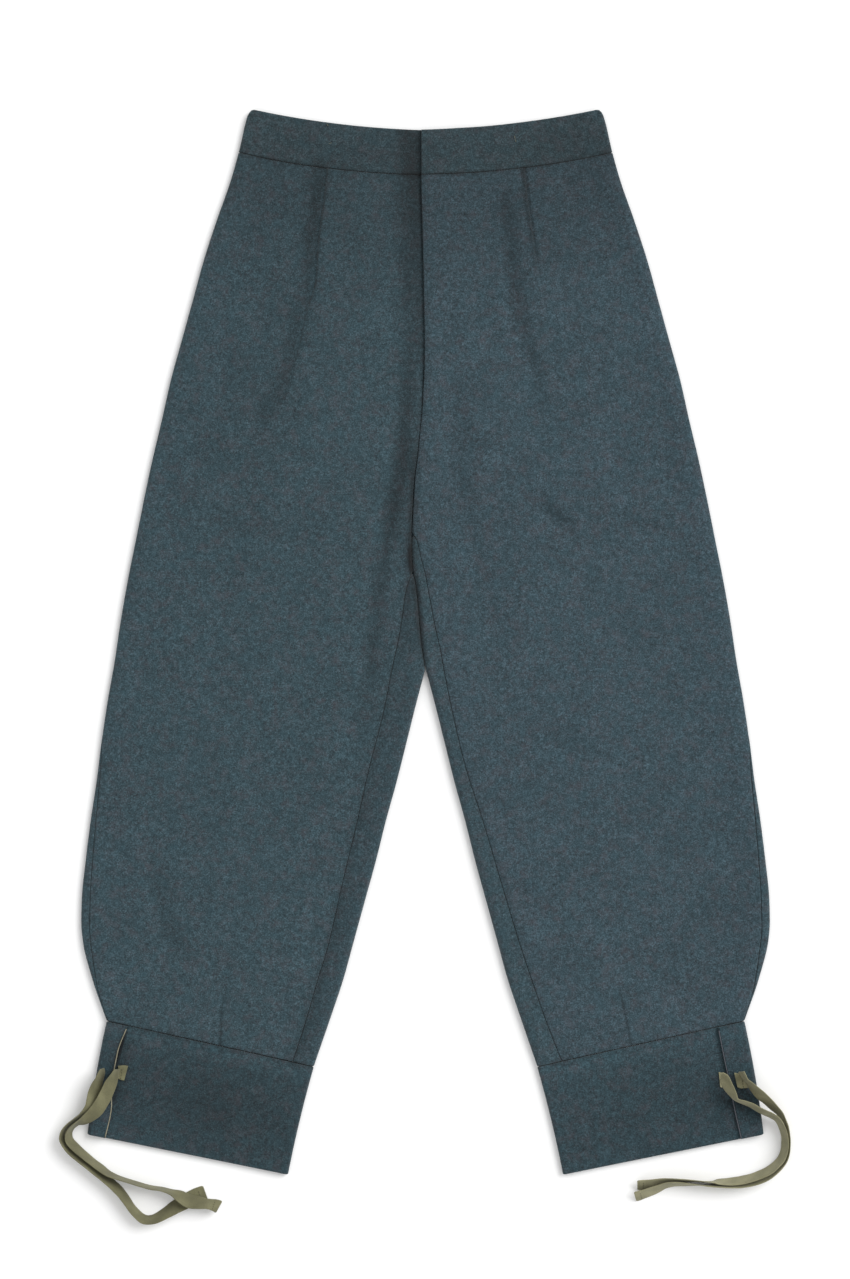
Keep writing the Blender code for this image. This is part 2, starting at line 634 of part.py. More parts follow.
def make_cuff(side, wool):
    """Cuff: one band of doubled cloth round the leg's end, its back end lapped over its front."""
    sheet = Sheet("cuff_" + side_name(side), DOUBLED_CLOTH)
    above = None
    quarters = len(CUFF_LAP[side]) - 1
    for k, lap in enumerate(CUFF_LAP[side]):
        outer = along(CUFF_OUTER, k / quarters)
        inner = along(CUFF_INNER, k / quarters)
        width = math.dist(outer, inner)
        across = [(b - a) / width for a, b in zip(outer, inner)]
        shift = -HALF_GAP if k == 0 else 0.0

        def at(distance, z, sideways=0.0, upwards=-1.0):
            x = outer[0] + across[0] * distance
            y = outer[1] + across[1] * distance + shift
            inward = side * across[0] * sideways, across[1] * sideways, upwards
            return (side * x, y, z), inward

        top = 2 * CUFF_FOLD_RADIUS
        flat_lap = lap - CUFF_FOLD_RADIUS
        points = [at(CUFF_FOLD_RADIUS + flat_lap * t, top) for t in (1, 0.65, 0.3)]
        for step in range(7):
            angle = math.pi / 2 - math.pi * step / 6
            points.append(at(CUFF_FOLD_RADIUS * (1 - math.cos(angle)),
                             CUFF_FOLD_RADIUS * (1 + math.sin(angle)),
                             math.cos(angle), -math.sin(angle)))
        points += [at(distance, 0.0, 0.0, 1.0) for distance in (60, 130)]
        for step in range(7):
            angle = -math.pi / 2 + math.pi * step / 6
            points.append(at(width - FOLD_RADIUS * (1 - math.cos(angle)),
                             FOLD_RADIUS * (1 + math.sin(angle)),
                             -math.cos(angle), -math.sin(angle)))
        points += [at(width - back, z) for back, z in ((20, 6.8), (45, 6.3), (85, 6.0))]
        points += [at(lap + 45, 6.0), at(lap + 24, 5.9), at(lap + CUFF_MARGIN, CUFF_LAPPED_HEIGHT)]
        points += [at(lap + 1, CUFF_LAPPED_HEIGHT), at(CUFF_UNDERLAP_END, CUFF_LAPPED_HEIGHT)]
        row = sheet.row(points)
        if above:
            sheet.join(above, row)
        above = row
    return sheet.finish(wool, reverse=side < 0)


def smooth_route(rows, step):
    """Points every step along a smooth curve through a tie's route."""
    fine = []
    last = len(rows) - 1
    for k in range(last):
        p0, p1, p2, p3 = (rows[min(max(j, 0), last)] for j in (k - 1, k, k + 1, k + 2))
        for n in range(12):
            t = n / 12
            fine.append(tuple(
                0.5 * (2 * b + (c - a) * t + (2 * a - 5 * b + 4 * c - d) * t * t
                       + (3 * b - a - 3 * c + d) * t ** 3)
                for a, b, c, d in zip(p0, p1, p2, p3)))
    fine.append(tuple(rows[-1]))
    travelled = [0.0]
    for a, b in zip(fine, fine[1:]):
        travelled.append(travelled[-1] + math.dist(a[:3], b[:3]))
    count = round(travelled[-1] / step)
    made = []
    j = 0
    for n in range(count + 1):
        target = travelled[-1] * n / count
        while j < len(fine) - 2 and travelled[j + 1] < target:
            j += 1
        t = (target - travelled[j]) / (travelled[j + 1] - travelled[j])
        made.append([a + (b - a) * t for a, b in zip(fine[j], fine[j + 1])])
    return made


def tie_rings(rows, step):
    """Rings of a tie: centre, side direction and face direction at each point of its route."""
    route = smooth_route(rows, step)
    rings = []
    for k, (x, y, low, lean) in enumerate(route):
        before, after = route[max(k - 1, 0)], route[min(k + 1, len(route) - 1)]
        dx, dy = after[0] - before[0], after[1] - before[1]
        run = math.hypot(dx, dy)
        lean = math.radians(lean)
        across = (-dy / run * math.cos(lean), dx / run * math.cos(lean), math.sin(lean))
        face = (dy / run * math.sin(lean), -dx / run * math.sin(lean), math.cos(lean))
        z = low + TAPE_WIDTH / 2 * abs(math.sin(lean)) + TAPE_CLOTH / 2 * abs(math.cos(lean))
        rings.append(((x, y, z), across, face))
    return rings


def make_tie(name, twill):
    """A tie: one length of twill tape, lofted along its route."""
    mesh = bmesh.new()
    rings = []
    for centre, across, face in tie_rings(TIES[name], TAPE_STEP):
        ring = []
        for w, t in ((-1, -1), (1, -1), (1, 1), (-1, 1)):
            ring.append(mesh.verts.new([
                (c + a * w * TAPE_WIDTH / 2 + f * t * TAPE_CLOTH / 2) * MM
                for c, a, f in zip(centre, across, face)]))
        rings.append(ring)
    for here, there in zip(rings, rings[1:]):
        for k in range(4):
            n = (k + 1) % 4
            mesh.faces.new((here[k], here[n], there[n], there[k]))
    mesh.faces.new(rings[0][::-1])
    mesh.faces.new(rings[-1])
    bmesh.ops.triangulate(mesh, faces=mesh.faces)
    bmesh.ops.recalc_face_normals(mesh, faces=mesh.faces)
    data = bpy.data.meshes.new(name)
    mesh.to_mesh(data)
    mesh.free()
    data.shade_smooth()
    data.set_sharp_from_angle(angle=math.radians(40))
    piece = bpy.data.objects.new(name, data)
    bpy.context.collection.objects.link(piece)
    data.materials.append(twill)
    return piece


def build():
    for old in list(bpy.data.objects):
        bpy.data.objects.remove(old, do_unlink=True)
    wool = material("blue_grey_wool", WOOL, 0.95)
    twill = material("khaki_twill_tape", TAPE, 0.85)
    for side in (-1, 1):
        make_back(side, wool)
        make_front(side, wool)
        make_band_front(side, wool)
        make_cuff(side, wool)
    make_band_back(wool)
    for name in TIES:
        make_tie(name, twill)


build()
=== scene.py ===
"""Looks of a pair of wool trousers that lies flat on a table, front side up.

Sizes are in millimetres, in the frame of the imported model: +X to the viewer's right,
+Y towards the waist and +Z up from the table. The wearer's right leg lies at -X.
"""
import math

import bpy
import numpy as np
from mathutils.kdtree import KDTree
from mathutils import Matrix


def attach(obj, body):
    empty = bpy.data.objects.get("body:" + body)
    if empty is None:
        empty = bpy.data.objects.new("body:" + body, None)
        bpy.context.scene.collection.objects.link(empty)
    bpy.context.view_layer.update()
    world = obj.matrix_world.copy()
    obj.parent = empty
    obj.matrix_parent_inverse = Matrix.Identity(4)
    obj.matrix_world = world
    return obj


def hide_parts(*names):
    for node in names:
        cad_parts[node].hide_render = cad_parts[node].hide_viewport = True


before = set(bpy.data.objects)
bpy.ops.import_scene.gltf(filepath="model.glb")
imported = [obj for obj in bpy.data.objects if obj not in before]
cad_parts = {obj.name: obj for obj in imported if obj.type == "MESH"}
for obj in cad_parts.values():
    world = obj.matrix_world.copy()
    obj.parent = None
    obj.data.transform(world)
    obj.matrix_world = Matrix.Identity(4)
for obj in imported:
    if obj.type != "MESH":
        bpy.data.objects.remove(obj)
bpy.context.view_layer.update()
MM = 0.001

# Camera
# A long lens straight above the table. One millimetre of the table is one pixel of the picture.
VIEW_HEIGHT = 1279.0
VIEW_CENTRE = (-0.55, 2.9)
CAMERA_HEIGHT = 3600.0
CLOTH_TOP = 6.0

lens_data = bpy.data.cameras.new("camera")
lens_data.sensor_width = 36.0
lens_data.lens = lens_data.sensor_width * CAMERA_HEIGHT / VIEW_HEIGHT
lens_data.clip_start = 0.05
lens_data.clip_end = 50.0
camera = bpy.data.objects.new("camera", lens_data)
camera.location = (VIEW_CENTRE[0] * MM, VIEW_CENTRE[1] * MM, (CAMERA_HEIGHT + CLOTH_TOP) * MM)
bpy.context.scene.collection.objects.link(camera)
bpy.context.scene.camera = camera


# Ties
# Four lengths of cotton twill tape, 15 mm wide, one sewn to each end of each cuff. The tape is soft
# enough to stand on its edge where it turns. The free ends are turned in and stitched across.
TAPE_WIDTH = 15.0
TAPE_CLOTH = 0.9
TAPE_STEP = 1.5
HEM_LENGTH = 6.5
TWILL_RIB = 1.3

# Dark, middle and light shade of the tape on each cuff, by the wearer's side; the tape on the wearer's right
# cuff is painted darker, as painted shade
TAPE_TONES = {"right": ("#55533A", "#615F43", "#6B694C"), "left": ("#727053", "#807D60", "#8B886A")}

# Routes of the ties: (x, y, height of the lower edge, lean in degrees, left edge up is positive)
TIES = {
    "tie_right_front": (
        (-307.7, -425.9, 8, -74), (-310.5, -432.6, 9.2, -58), (-314, -440.1, 9.8, -38),
        (-318, -449.3, 10.3, -30), (-322.2, -457.6, 10.4, -29), (-329.7, -468.4, 10.4, -28),
        (-340.2, -476.8, 8.9, -51), (-348.2, -480.7, 5.4, -72), (-354.2, -486.2, 2.6, -72),
        (-356.6, -491.9, 1.5, -68), (-355.2, -498.9, 0.8, -64), (-346, -508.4, 0.4, -66),
        (-332.5, -519.6, 0.3, -70), (-323.8, -526.1, 0.3, -70), (-316.7, -531.1, 0.3, -76),
        (-306.8, -535.2, 0.3, -82), (-296.8, -538.4, 0.3, -84), (-285.8, -541.8, 0.3, -83),
        (-274.8, -544.8, 0.3, -83), (-263.8, -546.4, 0.6, -83), (-254.3, -549.3, 1.4, -76),
        (-245.8, -553.3, 2, -50), (-236.8, -558.5, 2.6, -36), (-226.8, -560, 2.6, -42),
        (-217.8, -561, 2.4, -56), (-210.8, -562.6, 1.6, -46), (-206.4, -564.8, 0.5, -36),
    ),
    "tie_right_back": (
        (-322.5, -425.1, 8.8, -80), (-323.2, -429.3, 8.9, -67), (-325.5, -435.9, 8.9, -60),
        (-328.3, -442.6, 9, -45), (-330.2, -449.3, 9.1, -33), (-331.8, -457.6, 9.1, -30),
        (-334.3, -465.1, 9, -38), (-342, -472.4, 7, -58), (-349.3, -477.4, 4.6, -66),
        (-355.9, -482.8, 1.9, -66), (-361, -489, 0.5, -66), (-362.5, -494.6, 0.3, -66),
        (-361.3, -498.8, 0.3, -65), (-356.3, -505.9, 0.3, -62), (-348.3, -513.3, 0.3, -62),
        (-340, -519.8, 0.3, -62), (-331.7, -526.4, 0.3, -62), (-323.3, -533.1, 0.3, -62),
        (-314.8, -540.3, 0.3, -61), (-306.3, -548.4, 0.3, -61), (-299.3, -557.3, 0.3, -64),
        (-293.7, -565.6, 0.3, -65), (-288, -571.9, 0.3, -64), (-282.8, -576.1, 0.3, -62),
        (-277.2, -577.4, 0.3, -62), (-269.5, -575.9, 0.3, -56), (-260.2, -570.9, 0.3, -48),
        (-250.3, -564.8, 0.3, -33), (-239.7, -559.3, 0.3, -8), (-231.8, -555.1, 0.3, 0),
        (-220.5, -550.9, 0.3, 0),
    ),
    "tie_left_front": (
        (294.7, -433.8, 6, 50), (297.5, -434.6, 7.2, 48), (301.7, -442.8, 9.1, 49),
        (306, -449.9, 9, 59), (310, -455.9, 8.8, 74), (317.5, -458.8, 8.8, 70), (325, -461.6, 8.8, 68),
        (331.3, -465.3, 8.9, 66), (338, -468.9, 7.4, 65), (345.3, -472.3, 5.3, 65),
        (351.8, -476.9, 3.4, 68), (355.8, -483.9, 2.3, 68), (358.7, -492.8, 1.7, 68),
        (359.2, -500.9, 1.6, 68), (358.3, -508.8, 1.6, 68), (355.5, -515.9, 1.6, 68),
        (350.3, -521.9, 1.6, 68), (343.7, -527.4, 1.6, 66), (335.2, -531.6, 1.6, 66),
        (325.5, -535.1, 1.6, 66), (314.2, -537.8, 1.1, 66), (302.8, -539.1, 0.6, 70),
        (292.8, -539.1, 0.3, 78), (287.3, -539.3, 0.3, 92), (275.3, -538.8, 0.3, 100),
        (262.3, -538.4, 0.3, 108), (249.3, -538.8, 0.3, 118), (237.3, -539.9, 0.3, 130),
        (225.3, -541.8, 0.3, 136), (211.8, -542.9, 0.3, 136),
    ),
    "tie_left_back": (
        (314.8, -427.9, 10, 70), (319.2, -435.9, 9.9, 74), (322.2, -438.8, 9.8, 70),
        (327.3, -444.6, 9.5, 58), (333.7, -451.3, 8.4, 48), (340.7, -457.3, 6.1, 54),
        (347.7, -464.4, 3.6, 58), (353.8, -470.6, 1.7, 66), (356.7, -476.8, 0.8, 67),
        (359.5, -484.3, 0.4, 67), (361.2, -494.3, 0.3, 68), (361.3, -502.6, 0.3, 68),
        (360.5, -509.9, 0.3, 68), (358, -517.4, 0.3, 68), (353.3, -523.9, 0.3, 68),
        (346.3, -530.6, 0.3, 68), (338.3, -535.6, 0.3, 68), (330.3, -538.6, 0.3, 68),
        (320.7, -540.8, 0.3, 68), (310.8, -541.9, 0.3, 70), (301.2, -542.4, 0.3, 76),
        (287.8, -542.8, 0.3, 86), (274.5, -542.6, 0.3, 98), (261.2, -541.9, 0.3, 108),
        (249.5, -541.6, 0.3, 114), (239.7, -543.1, 0.3, 120), (232.8, -546.2, 0.3, 127),
        (226, -548.9, 0.3, 132), (217.5, -551.9, 0.3, 134), (209.5, -554.3, 0.3, 136),
    ),
}

# Half of the tape's section, from the middle to the edge and round it: (share of width, share of cloth)
TAPE_SECTION = ((0.0, 1.0), (0.5, 1.0), (0.86, 1.0), (0.965, 0.88), (1.0, 0.35))


def linear(colour):
    """Linear colour of an sRGB hex value."""
    shares = [int(colour[k:k + 2], 16) / 255 for k in (1, 3, 5)]
    return [c / 12.92 if c <= 0.04045 else ((c + 0.055) / 1.055) ** 2.4 for c in shares] + [1.0]


def add_node(tree, kind, inputs=(), **settings):
    """Add a node with its settings, and with values or links for its inputs."""
    made = tree.nodes.new(kind)
    for name, value in settings.items():
        setattr(made, name, value)
    for socket, value in inputs:
        if isinstance(value, bpy.types.NodeSocket):
            tree.links.new(value, made.inputs[socket])
        else:
            made.inputs[socket].default_value = value
    return made


def new_material(name):
    """A material with a Principled shader, and that shader."""
    made = bpy.data.materials.new(name)
    made.use_nodes = True
    return made, made.node_tree, made.node_tree.nodes["Principled BSDF"]


def noise(tree, place, scale, **more):
    """Value of a noise texture, with the settings that differ from the usual."""
    inputs = [("Vector", place), ("Scale", scale)] + [(n.title(), v) for n, v in more.items()]
    return add_node(tree, "ShaderNodeTexNoise", inputs).outputs["Fac"]


def shades(tree, value, *stops):
    """Colour of a value from two or three sRGB stops, as (position, colour)."""
    made = add_node(tree, "ShaderNodeValToRGB", [("Fac", value)])
    ramp = made.color_ramp
    for element, (position, colour) in zip(ramp.elements, (stops[0], stops[-1])):
        element.position = position
        element.color = linear(colour)
    for position, colour in stops[1:-1]:
        ramp.elements.new(position).color = linear(colour)
    return made.outputs["Color"]


def cotton_twill(name, dark, middle, light):
    """Cotton twill tape, woven: fine slanting ribs, matt, a little uneven where it was handled."""
    made, tree, shader = new_material(name)
    place = add_node(tree, "ShaderNodeUVMap", uv_map="tape").outputs["UV"]
    turned = add_node(tree, "ShaderNodeMapping", [("Vector", place), ("Rotation", (0, 0, math.radians(58)))])
    ribs = add_node(tree, "ShaderNodeTexWave", [
        ("Vector", turned.outputs["Vector"]), ("Scale", math.pi / 10 / TWILL_RIB * 1000 / 10),
        ("Distortion", 1.2), ("Detail", 2.0), ("Detail Scale", 3.0)])
    handled = noise(tree, place, 45.0, detail=3.0)
    threads = noise(tree, place, 700.0, detail=2.0)
    tone = shades(tree, handled, (0.3, dark), (0.5, middle), (0.7, light))
    shade = add_node(tree, "ShaderNodeMapRange", [
        ("Value", ribs.outputs["Fac"]), ("To Min", 0.92), ("To Max", 1.05)])
    speck = add_node(tree, "ShaderNodeMapRange", [
        ("Value", threads), ("From Min", 0.3), ("From Max", 0.7), ("To Min", 0.9),
        ("To Max", 1.1)])
    both = add_node(tree, "ShaderNodeMath", [
        (0, shade.outputs["Result"]), (1, speck.outputs["Result"])], operation="MULTIPLY")
    colour = add_node(tree, "ShaderNodeMix", [
        ("Factor", 1.0), ("A", tone), ("B", both.outputs["Value"])],
        data_type="RGBA", blend_type="MULTIPLY")
    bump = add_node(tree, "ShaderNodeBump", [
        ("Height", ribs.outputs["Fac"]), ("Strength", 0.5), ("Distance", 0.12 * MM)])
    tree.links.new(colour.outputs["Result"], shader.inputs["Base Color"])
    tree.links.new(bump.outputs["Normal"], shader.inputs["Normal"])
    shader.inputs["Roughness"].default_value = 0.82
    shader.inputs["Sheen Weight"].default_value = 0.12
    return made


def cotton_thread(name, dark, light):
    """Spun cotton, matt: the sewing thread, and the narrow binding of the cuffs' raw edges."""
    made, tree, shader = new_material(name)
    place = add_node(tree, "ShaderNodeTexCoord").outputs["Object"]
    tone = shades(tree, noise(tree, place, 900.0), (0.35, dark), (0.65, light))
    tree.links.new(tone, shader.inputs["Base Color"])
    shader.inputs["Roughness"].default_value = 0.8
    return made


def smooth_route(rows, step):
    """Points every step along a smooth curve through a tie's route."""
    rows = np.array(rows, float)
    ends = np.vstack((rows[:1], rows, rows[-1:]))
    before, start, end, after = ends[:-3], ends[1:-2], ends[2:-1], ends[3:]
    t = np.linspace(0, 1, 12, endpoint=False)[None, :, None]
    before, start, end, after = (p[:, None, :] for p in (before, start, end, after))
    fine = 0.5 * (2 * start + (end - before) * t + (2 * before - 5 * start + 4 * end - after) * t ** 2
                  + (3 * start - before - 3 * end + after) * t ** 3)
    fine = np.vstack((fine.reshape(-1, rows.shape[1]), rows[-1:]))
    travelled = np.concatenate(([0], np.cumsum(np.linalg.norm(np.diff(fine[:, :3], axis=0), axis=1))))
    at = np.linspace(0, travelled[-1], round(travelled[-1] / step) + 1)
    return np.stack([np.interp(at, travelled, fine[:, k]) for k in range(rows.shape[1])], 1), at


def tie_rings(rows):
    """Centre, side direction, face direction and distance travelled at each ring of a tie."""
    route, at = smooth_route(rows, TAPE_STEP)
    heading = np.gradient(route[:, :2], axis=0)
    heading /= np.linalg.norm(heading, axis=1)[:, None]
    lean = np.radians(route[:, 3])
    across = np.stack((-heading[:, 1] * np.cos(lean), heading[:, 0] * np.cos(lean), np.sin(lean)), 1)
    face = np.stack((heading[:, 1] * np.sin(lean), -heading[:, 0] * np.sin(lean), np.cos(lean)), 1)
    centre = route[:, :3].copy()
    centre[:, 2] += TAPE_WIDTH / 2 * np.abs(np.sin(lean)) + 0.5 * np.abs(np.cos(lean))
    return centre, across, face, at


def mesh_object(name, points, faces, material):
    """A smooth mesh at the origin from points in millimetres."""
    data = bpy.data.meshes.new(name)
    data.from_pydata((np.asarray(points) * MM).tolist(), [], faces)
    data.update()
    data.shade_smooth()
    data.materials.append(material)
    made = bpy.data.objects.new(name, data)
    bpy.context.scene.collection.objects.link(made)
    return made


def tape_piece(name, centre, across, face, at, material):
    """A length of tape lofted along its rings, thicker where its free end is turned in."""
    corners = [(w, t) for w, t in TAPE_SECTION] + [(w, -t) for w, t in TAPE_SECTION[::-1]]
    corners += [(-w, -t) for w, t in TAPE_SECTION[1:]] + [(-w, t) for w, t in TAPE_SECTION[:0:-1]]
    corners = np.array(corners)
    count = len(corners)
    hem = at > at[-1] - HEM_LENGTH
    thick = np.where(hem, 1.55, 1.0) * TAPE_CLOTH / 2
    wavy = 1 + 0.012 * np.sin(at / 5.1) + 0.01 * np.sin(at / 2.3 + 1)
    wavy = wavy - 0.13 * np.clip((at - at[-1]) / TAPE_STEP + 1, 0, 1)
    points = (centre[:, None] + across[:, None] * (corners[:, 0] * TAPE_WIDTH / 2)[None, :, None]
              * wavy[:, None, None] + face[:, None] * corners[None, :, 1, None] * thick[:, None, None])
    rings = len(centre)
    faces = []
    for k in range(rings - 1):
        for j in range(count):
            n = (j + 1) % count
            faces.append((k * count + j, (k + 1) * count + j, (k + 1) * count + n, k * count + n))
    faces.append(tuple(range(count)))
    faces.append(tuple((rings - 1) * count + j for j in range(count))[::-1])
    made = mesh_object(name, points.reshape(-1, 3), faces, material)
    uv = made.data.uv_layers.new(name="tape")
    along = np.repeat(at, count) * MM
    beside = np.tile(corners[:, 0] * TAPE_WIDTH / 2, rings) * MM
    corner = np.zeros(len(made.data.loops), np.int32)
    made.data.loops.foreach_get("vertex_index", corner)
    uv.data.foreach_set("uv", np.stack((along[corner], beside[corner]), 1).ravel())
    made.data.set_sharp_from_angle(angle=math.radians(60))
    return made


def stitches(name, runs, material, length=2.0, gap=0.8, radius=0.24):
    """Rows of hand stitches: each run is (start, end, face direction), and each stitch a small arch."""
    points, faces = [], []
    sides, arch = 6, 5
    for start, end, face in runs:
        start, end, face = (np.asarray(v, float) for v in (start, end, face))
        total = np.linalg.norm(end - start)
        ahead = (end - start) / total
        beside = np.cross(face, ahead)
        for n in range(int((total + gap) // (length + gap))):
            first = len(points)
            for k in range(arch):
                t = k / (arch - 1)
                middle = start + ahead * (n * (length + gap) + t * length)
                middle = middle + face * (math.sin(math.pi * t) * 1.5 - 0.5) * radius
                size = radius * (0.6 + 0.4 * math.sin(math.pi * t))
                for j in range(sides):
                    turn = 2 * math.pi * j / sides
                    points.append(middle + size * (beside * math.cos(turn) + face * math.sin(turn)))
            for k in range(arch - 1):
                for j in range(sides):
                    a, b = first + k * sides + j, first + k * sides + (j + 1) % sides
                    faces.append((a, b, b + sides, a + sides))
            faces.append(tuple(first + j for j in range(sides))[::-1])
            faces.append(tuple(first + (arch - 1) * sides + j for j in range(sides)))
    return mesh_object(name, points, faces, material)


# Sewn end of a tie, which lies flat on the cuff beside the tie's first ring: middles from the free
# edge inwards, and the way across it
TABS = {
    "tie_right_front": (((-299.4, -430.8, 6.4), (0.26, 0.97, 0)), ((-302.4, -430.3, 6.4), (0.13, 0.99, 0)),
                        ((-307.3, -429.8, 6.6), (0, 1, 0))),
    "tie_left_front": (((293.9, -437.2, 6.4), (-0.1, 0.99, 0)), ((295.6, -437.5, 6.4), (-0.08, 1, 0)),
                       ((298.4, -437.6, 6.5), (-0.06, 1, 0))),
    "tie_left_back": (((310.0, -437.2, 9.3), (-0.22, 0.97, 0)), ((314.6, -438.2, 9.3), (-0.14, 0.99, 0)),
                      ((321.4, -438.6, 9.3), (-0.1, 0.99, 0))),
}

twills = {side: cotton_twill("cotton_twill_" + side, *shades) for side, shades in TAPE_TONES.items()}
thread = cotton_thread("cotton_thread", "#2E2C20", "#4A4834")
for node, rows in TIES.items():
    twill = twills[node.split("_")[1]]
    centre, across, face, at = tie_rings(rows)
    tie = tape_piece("tape_" + node, centre, across, face, at, twill)
    k = int(np.argmin(np.abs(at - (at[-1] - HEM_LENGTH + 1.0))))
    reach = across[k] * (TAPE_WIDTH / 2 - 1.0)
    runs = []
    for way in (1, -1):
        raised = face[k] * way * (TAPE_CLOTH * 0.78)
        runs.append((centre[k] - reach + raised, centre[k] + reach + raised, face[k] * way))
    sewn = stitches("stitches_" + node, runs, thread)
    extra = [sewn]
    if node in TABS:
        middle, way = (np.array(v, float) for v in zip(*TABS[node]))
        up = np.tile((0.0, 0.0, 1.0), (len(middle), 1))
        steps = np.concatenate(([0], np.cumsum(np.linalg.norm(np.diff(middle, axis=0), axis=1))))
        extra.append(tape_piece("tab_" + node, middle, way, up, steps, twill))
        # Dark stitches that sew the tab to the cuff, laid along the crease between tab and tie, where they
        # also stand for the crease's shade as painted shade
        row = middle[1] + (middle[2] - middle[1]) * 0.3 + (0, 0, 0.72)
        extra.append(stitches("tab_stitches_and_crease_shade_" + node, [(row - way[1] * 6.6, row + way[1] * 6.6, up[0])],
                              thread))
    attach(tie, "root")
    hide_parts(node)
    for part in extra:
        part.parent = tie


# Back pieces
# Two pieces of melton wool, a milled and felted cloth 2 mm thick. They lie flat underneath, come round
# the outer edge, and come round the leg's inner edge to the inseam, which lies on top.
CLOTH = 2.0
SEAM_GAP = 0.3
HALF_GAP = SEAM_GAP / 2
FOLD_RADIUS = 3.5
QUARTER = FOLD_RADIUS * math.pi / 2
EDGE_HEIGHT = 2 * FOLD_RADIUS
PANEL_HEIGHT = 5.2
EDGE_RUN = 35.0
ROLLED_RIM = 1.3
ROW_STEP = 4.0

# Levels along the centre line
BAND_TOP = 512.6
WAIST_SEAM = 468.0
FLY_END = 272.0
APEX = -27.0
CUFF_SEAM = -424.4
CROTCH = {-1: 70.0, 1: 108.5}
WAIST_DIP = 5.0
WAIST_DIP_RUN = 110.0

# Half width of the flat garment at its outer edge: (y, x)
SIDE_EDGE = (
    (534, 177.2), (516, 181.4), (500, 184.8), (490, 187.2), (462, 195.1), (422, 209.1), (382, 222.1),
    (342, 233.1), (302, 244.1), (262, 255.1), (222, 264.1), (182, 273.6), (142, 282.1), (102, 290.1),
    (62, 298.1), (22, 305.1), (-18, 311.1), (-58, 318.1), (-98, 324.1), (-138, 329.1), (-178, 335.1),
    (-218, 340.1), (-258, 344.1), (-280, 344.6), (-298, 343.1), (-338, 333.1), (-368, 322.8),
    (-378.5, 319),
)

# Half width of the space between the legs below the apex: (y, x)
LEG_SPACE = (
    (-27, 0.2), (-58, 8.5), (-98, 18.5), (-138, 28.5), (-178, 39.5), (-218, 49.5), (-258, 60.5),
    (-298, 71.5), (-338, 82.5), (-368, 92.5), (-400, 103.5), (-416, 109), (-424.4, 111.8),
)

# How far a level's outer end lies above its inner end: (inner y, rise)
LEVEL_RISE = ((512.6, 21.4), (468, 22), (230, 20), (-27, 19), (-111, 23), (-196, 28), (-278, 35),
              (-346, 43), (-400, 45), (-424.4, 45.9))

# Centre front, then the crotch seam, then the seat seam where it shows on top: (y, x)
CENTRE_LINE = (
    (512.6, -4.3), (468, -4.3), (402, -2.8), (342, -1.5), (297, -0.8), (272, -1.2), (259, -1.9),
    (232, -3.4), (207, -5.9), (188, -7.8), (163, -10.9), (131, -12.8), (106, -13.8), (82, -13.3),
    (70, -12.2), (57, -9.7), (40, -7.7), (13, -5.5), (-2, -3.9), (-18, -1.6), (-27, 0),
)

# Inseams, which lie on top inside the leg's edge: (y, x)
INSEAM = {
    -1: ((70, -12.5), (60, -17.1), (46, -20.6), (27, -23.2), (6, -26.6), (-28, -33.9), (-62, -40.5),
         (-94, -48.1), (-121, -55.4), (-178, -68.2), (-240, -83), (-301, -96.9), (-338, -108),
         (-384, -121.4), (-424, -134.6)),
    1: ((108.5, -13.3), (104, -9.6), (82, -4), (68, -0.3), (51, 2.8), (35, 5.8), (16, 9.4), (-7, 14.6),
        (-31, 18.9), (-69, 26.6), (-125, 40), (-178, 57.1), (-240, 75.5), (-300, 93.6), (-358, 113.1),
        (-385, 122.8), (-424, 138.2)),
}

# How far the side seam comes round the edge onto the top: (outer y, inset)
SIDE_SEAM_INSET = ((490, 0), (-90, 0), (-120, 2), (-180, 5.5), (-220, 7.2), (-265, 8.8), (-305, 8),
                   (-330, 5), (-350, 2.2), (-378.5, 1))

# Outer height at the centre line, wearer's right under wearer's left: (y, z)
CENTRE_HEIGHT = {
    -1: ((468, 4.5), (311, 4.3), (272, 4.3), (245, 4.8), (215, 5.2), (185, 5.6), (155, 6.1), (130, 6.6),
         (107, 7)),
    1: ((468, 7.9), (311, 7.7), (272, 7.3), (245, 6.7), (215, 6.2), (185, 6.1), (155, 6.3), (130, 6.7),
        (107, 7)),
}

# Width of the level strip beside the centre line before the height settles: (y, width)
CENTRE_STRIP = {-1: ((468, 2), (107, 0)), 1: ((468, 33), (285, 33), (215, 4), (107, 0))}

# How far the top layer rolls down at the centre: (y, degrees)
CENTRE_ROLL = ((230, 0), (205, 6), (185, 15), (155, 35), (130, 60), (107, 80), (88, 90))

# How far the under layer rolls up at the centre, from flat to the closed leg: (y, degrees)
SEAT_ROLL = ((APEX + 7, 0), (APEX + 3.5, 30), (APEX + 1.5, 60), (APEX, 90))

# Painted shade on the cloth that goes in under the fly's edge, and into the crotch seam below it, for the
# shadow of the flap and the seam
FLY_PAINTED_SHADE = (
    (13, ((-13, 515, -0.4), (-13, 468, -0.4), (-11, 350, -0.36), (-10.5, 300, -0.3), (-10, 285, -0.15),
          (-9, 272, 0))),
    (5, ((-2.5, 515, -0.1), (-2.5, 468, -0.1), (-1.5, 300, -0.1), (-2, 290, -0.2), (-2.5, 265, -0.28),
         (-4.5, 232, -0.28), (-7, 207, -0.25), (-12, 163, -0.12), (-14, 131, 0))),
    (3.2, ((-9.5, 200, 0), (-10, 185, -0.25), (-12.2, 163, -0.42), (-14, 131, -0.45), (-15, 106, -0.5),
           (-14.5, 82, -0.5), (-13.5, 70, -0.3), (-13, 62, 0))),
    (2.4, ((-15.8, 100, 0), (-15.4, 90, -0.5), (-15, 80, -0.65), (-14, 72, -0.4), (-13, 62, 0))),
)

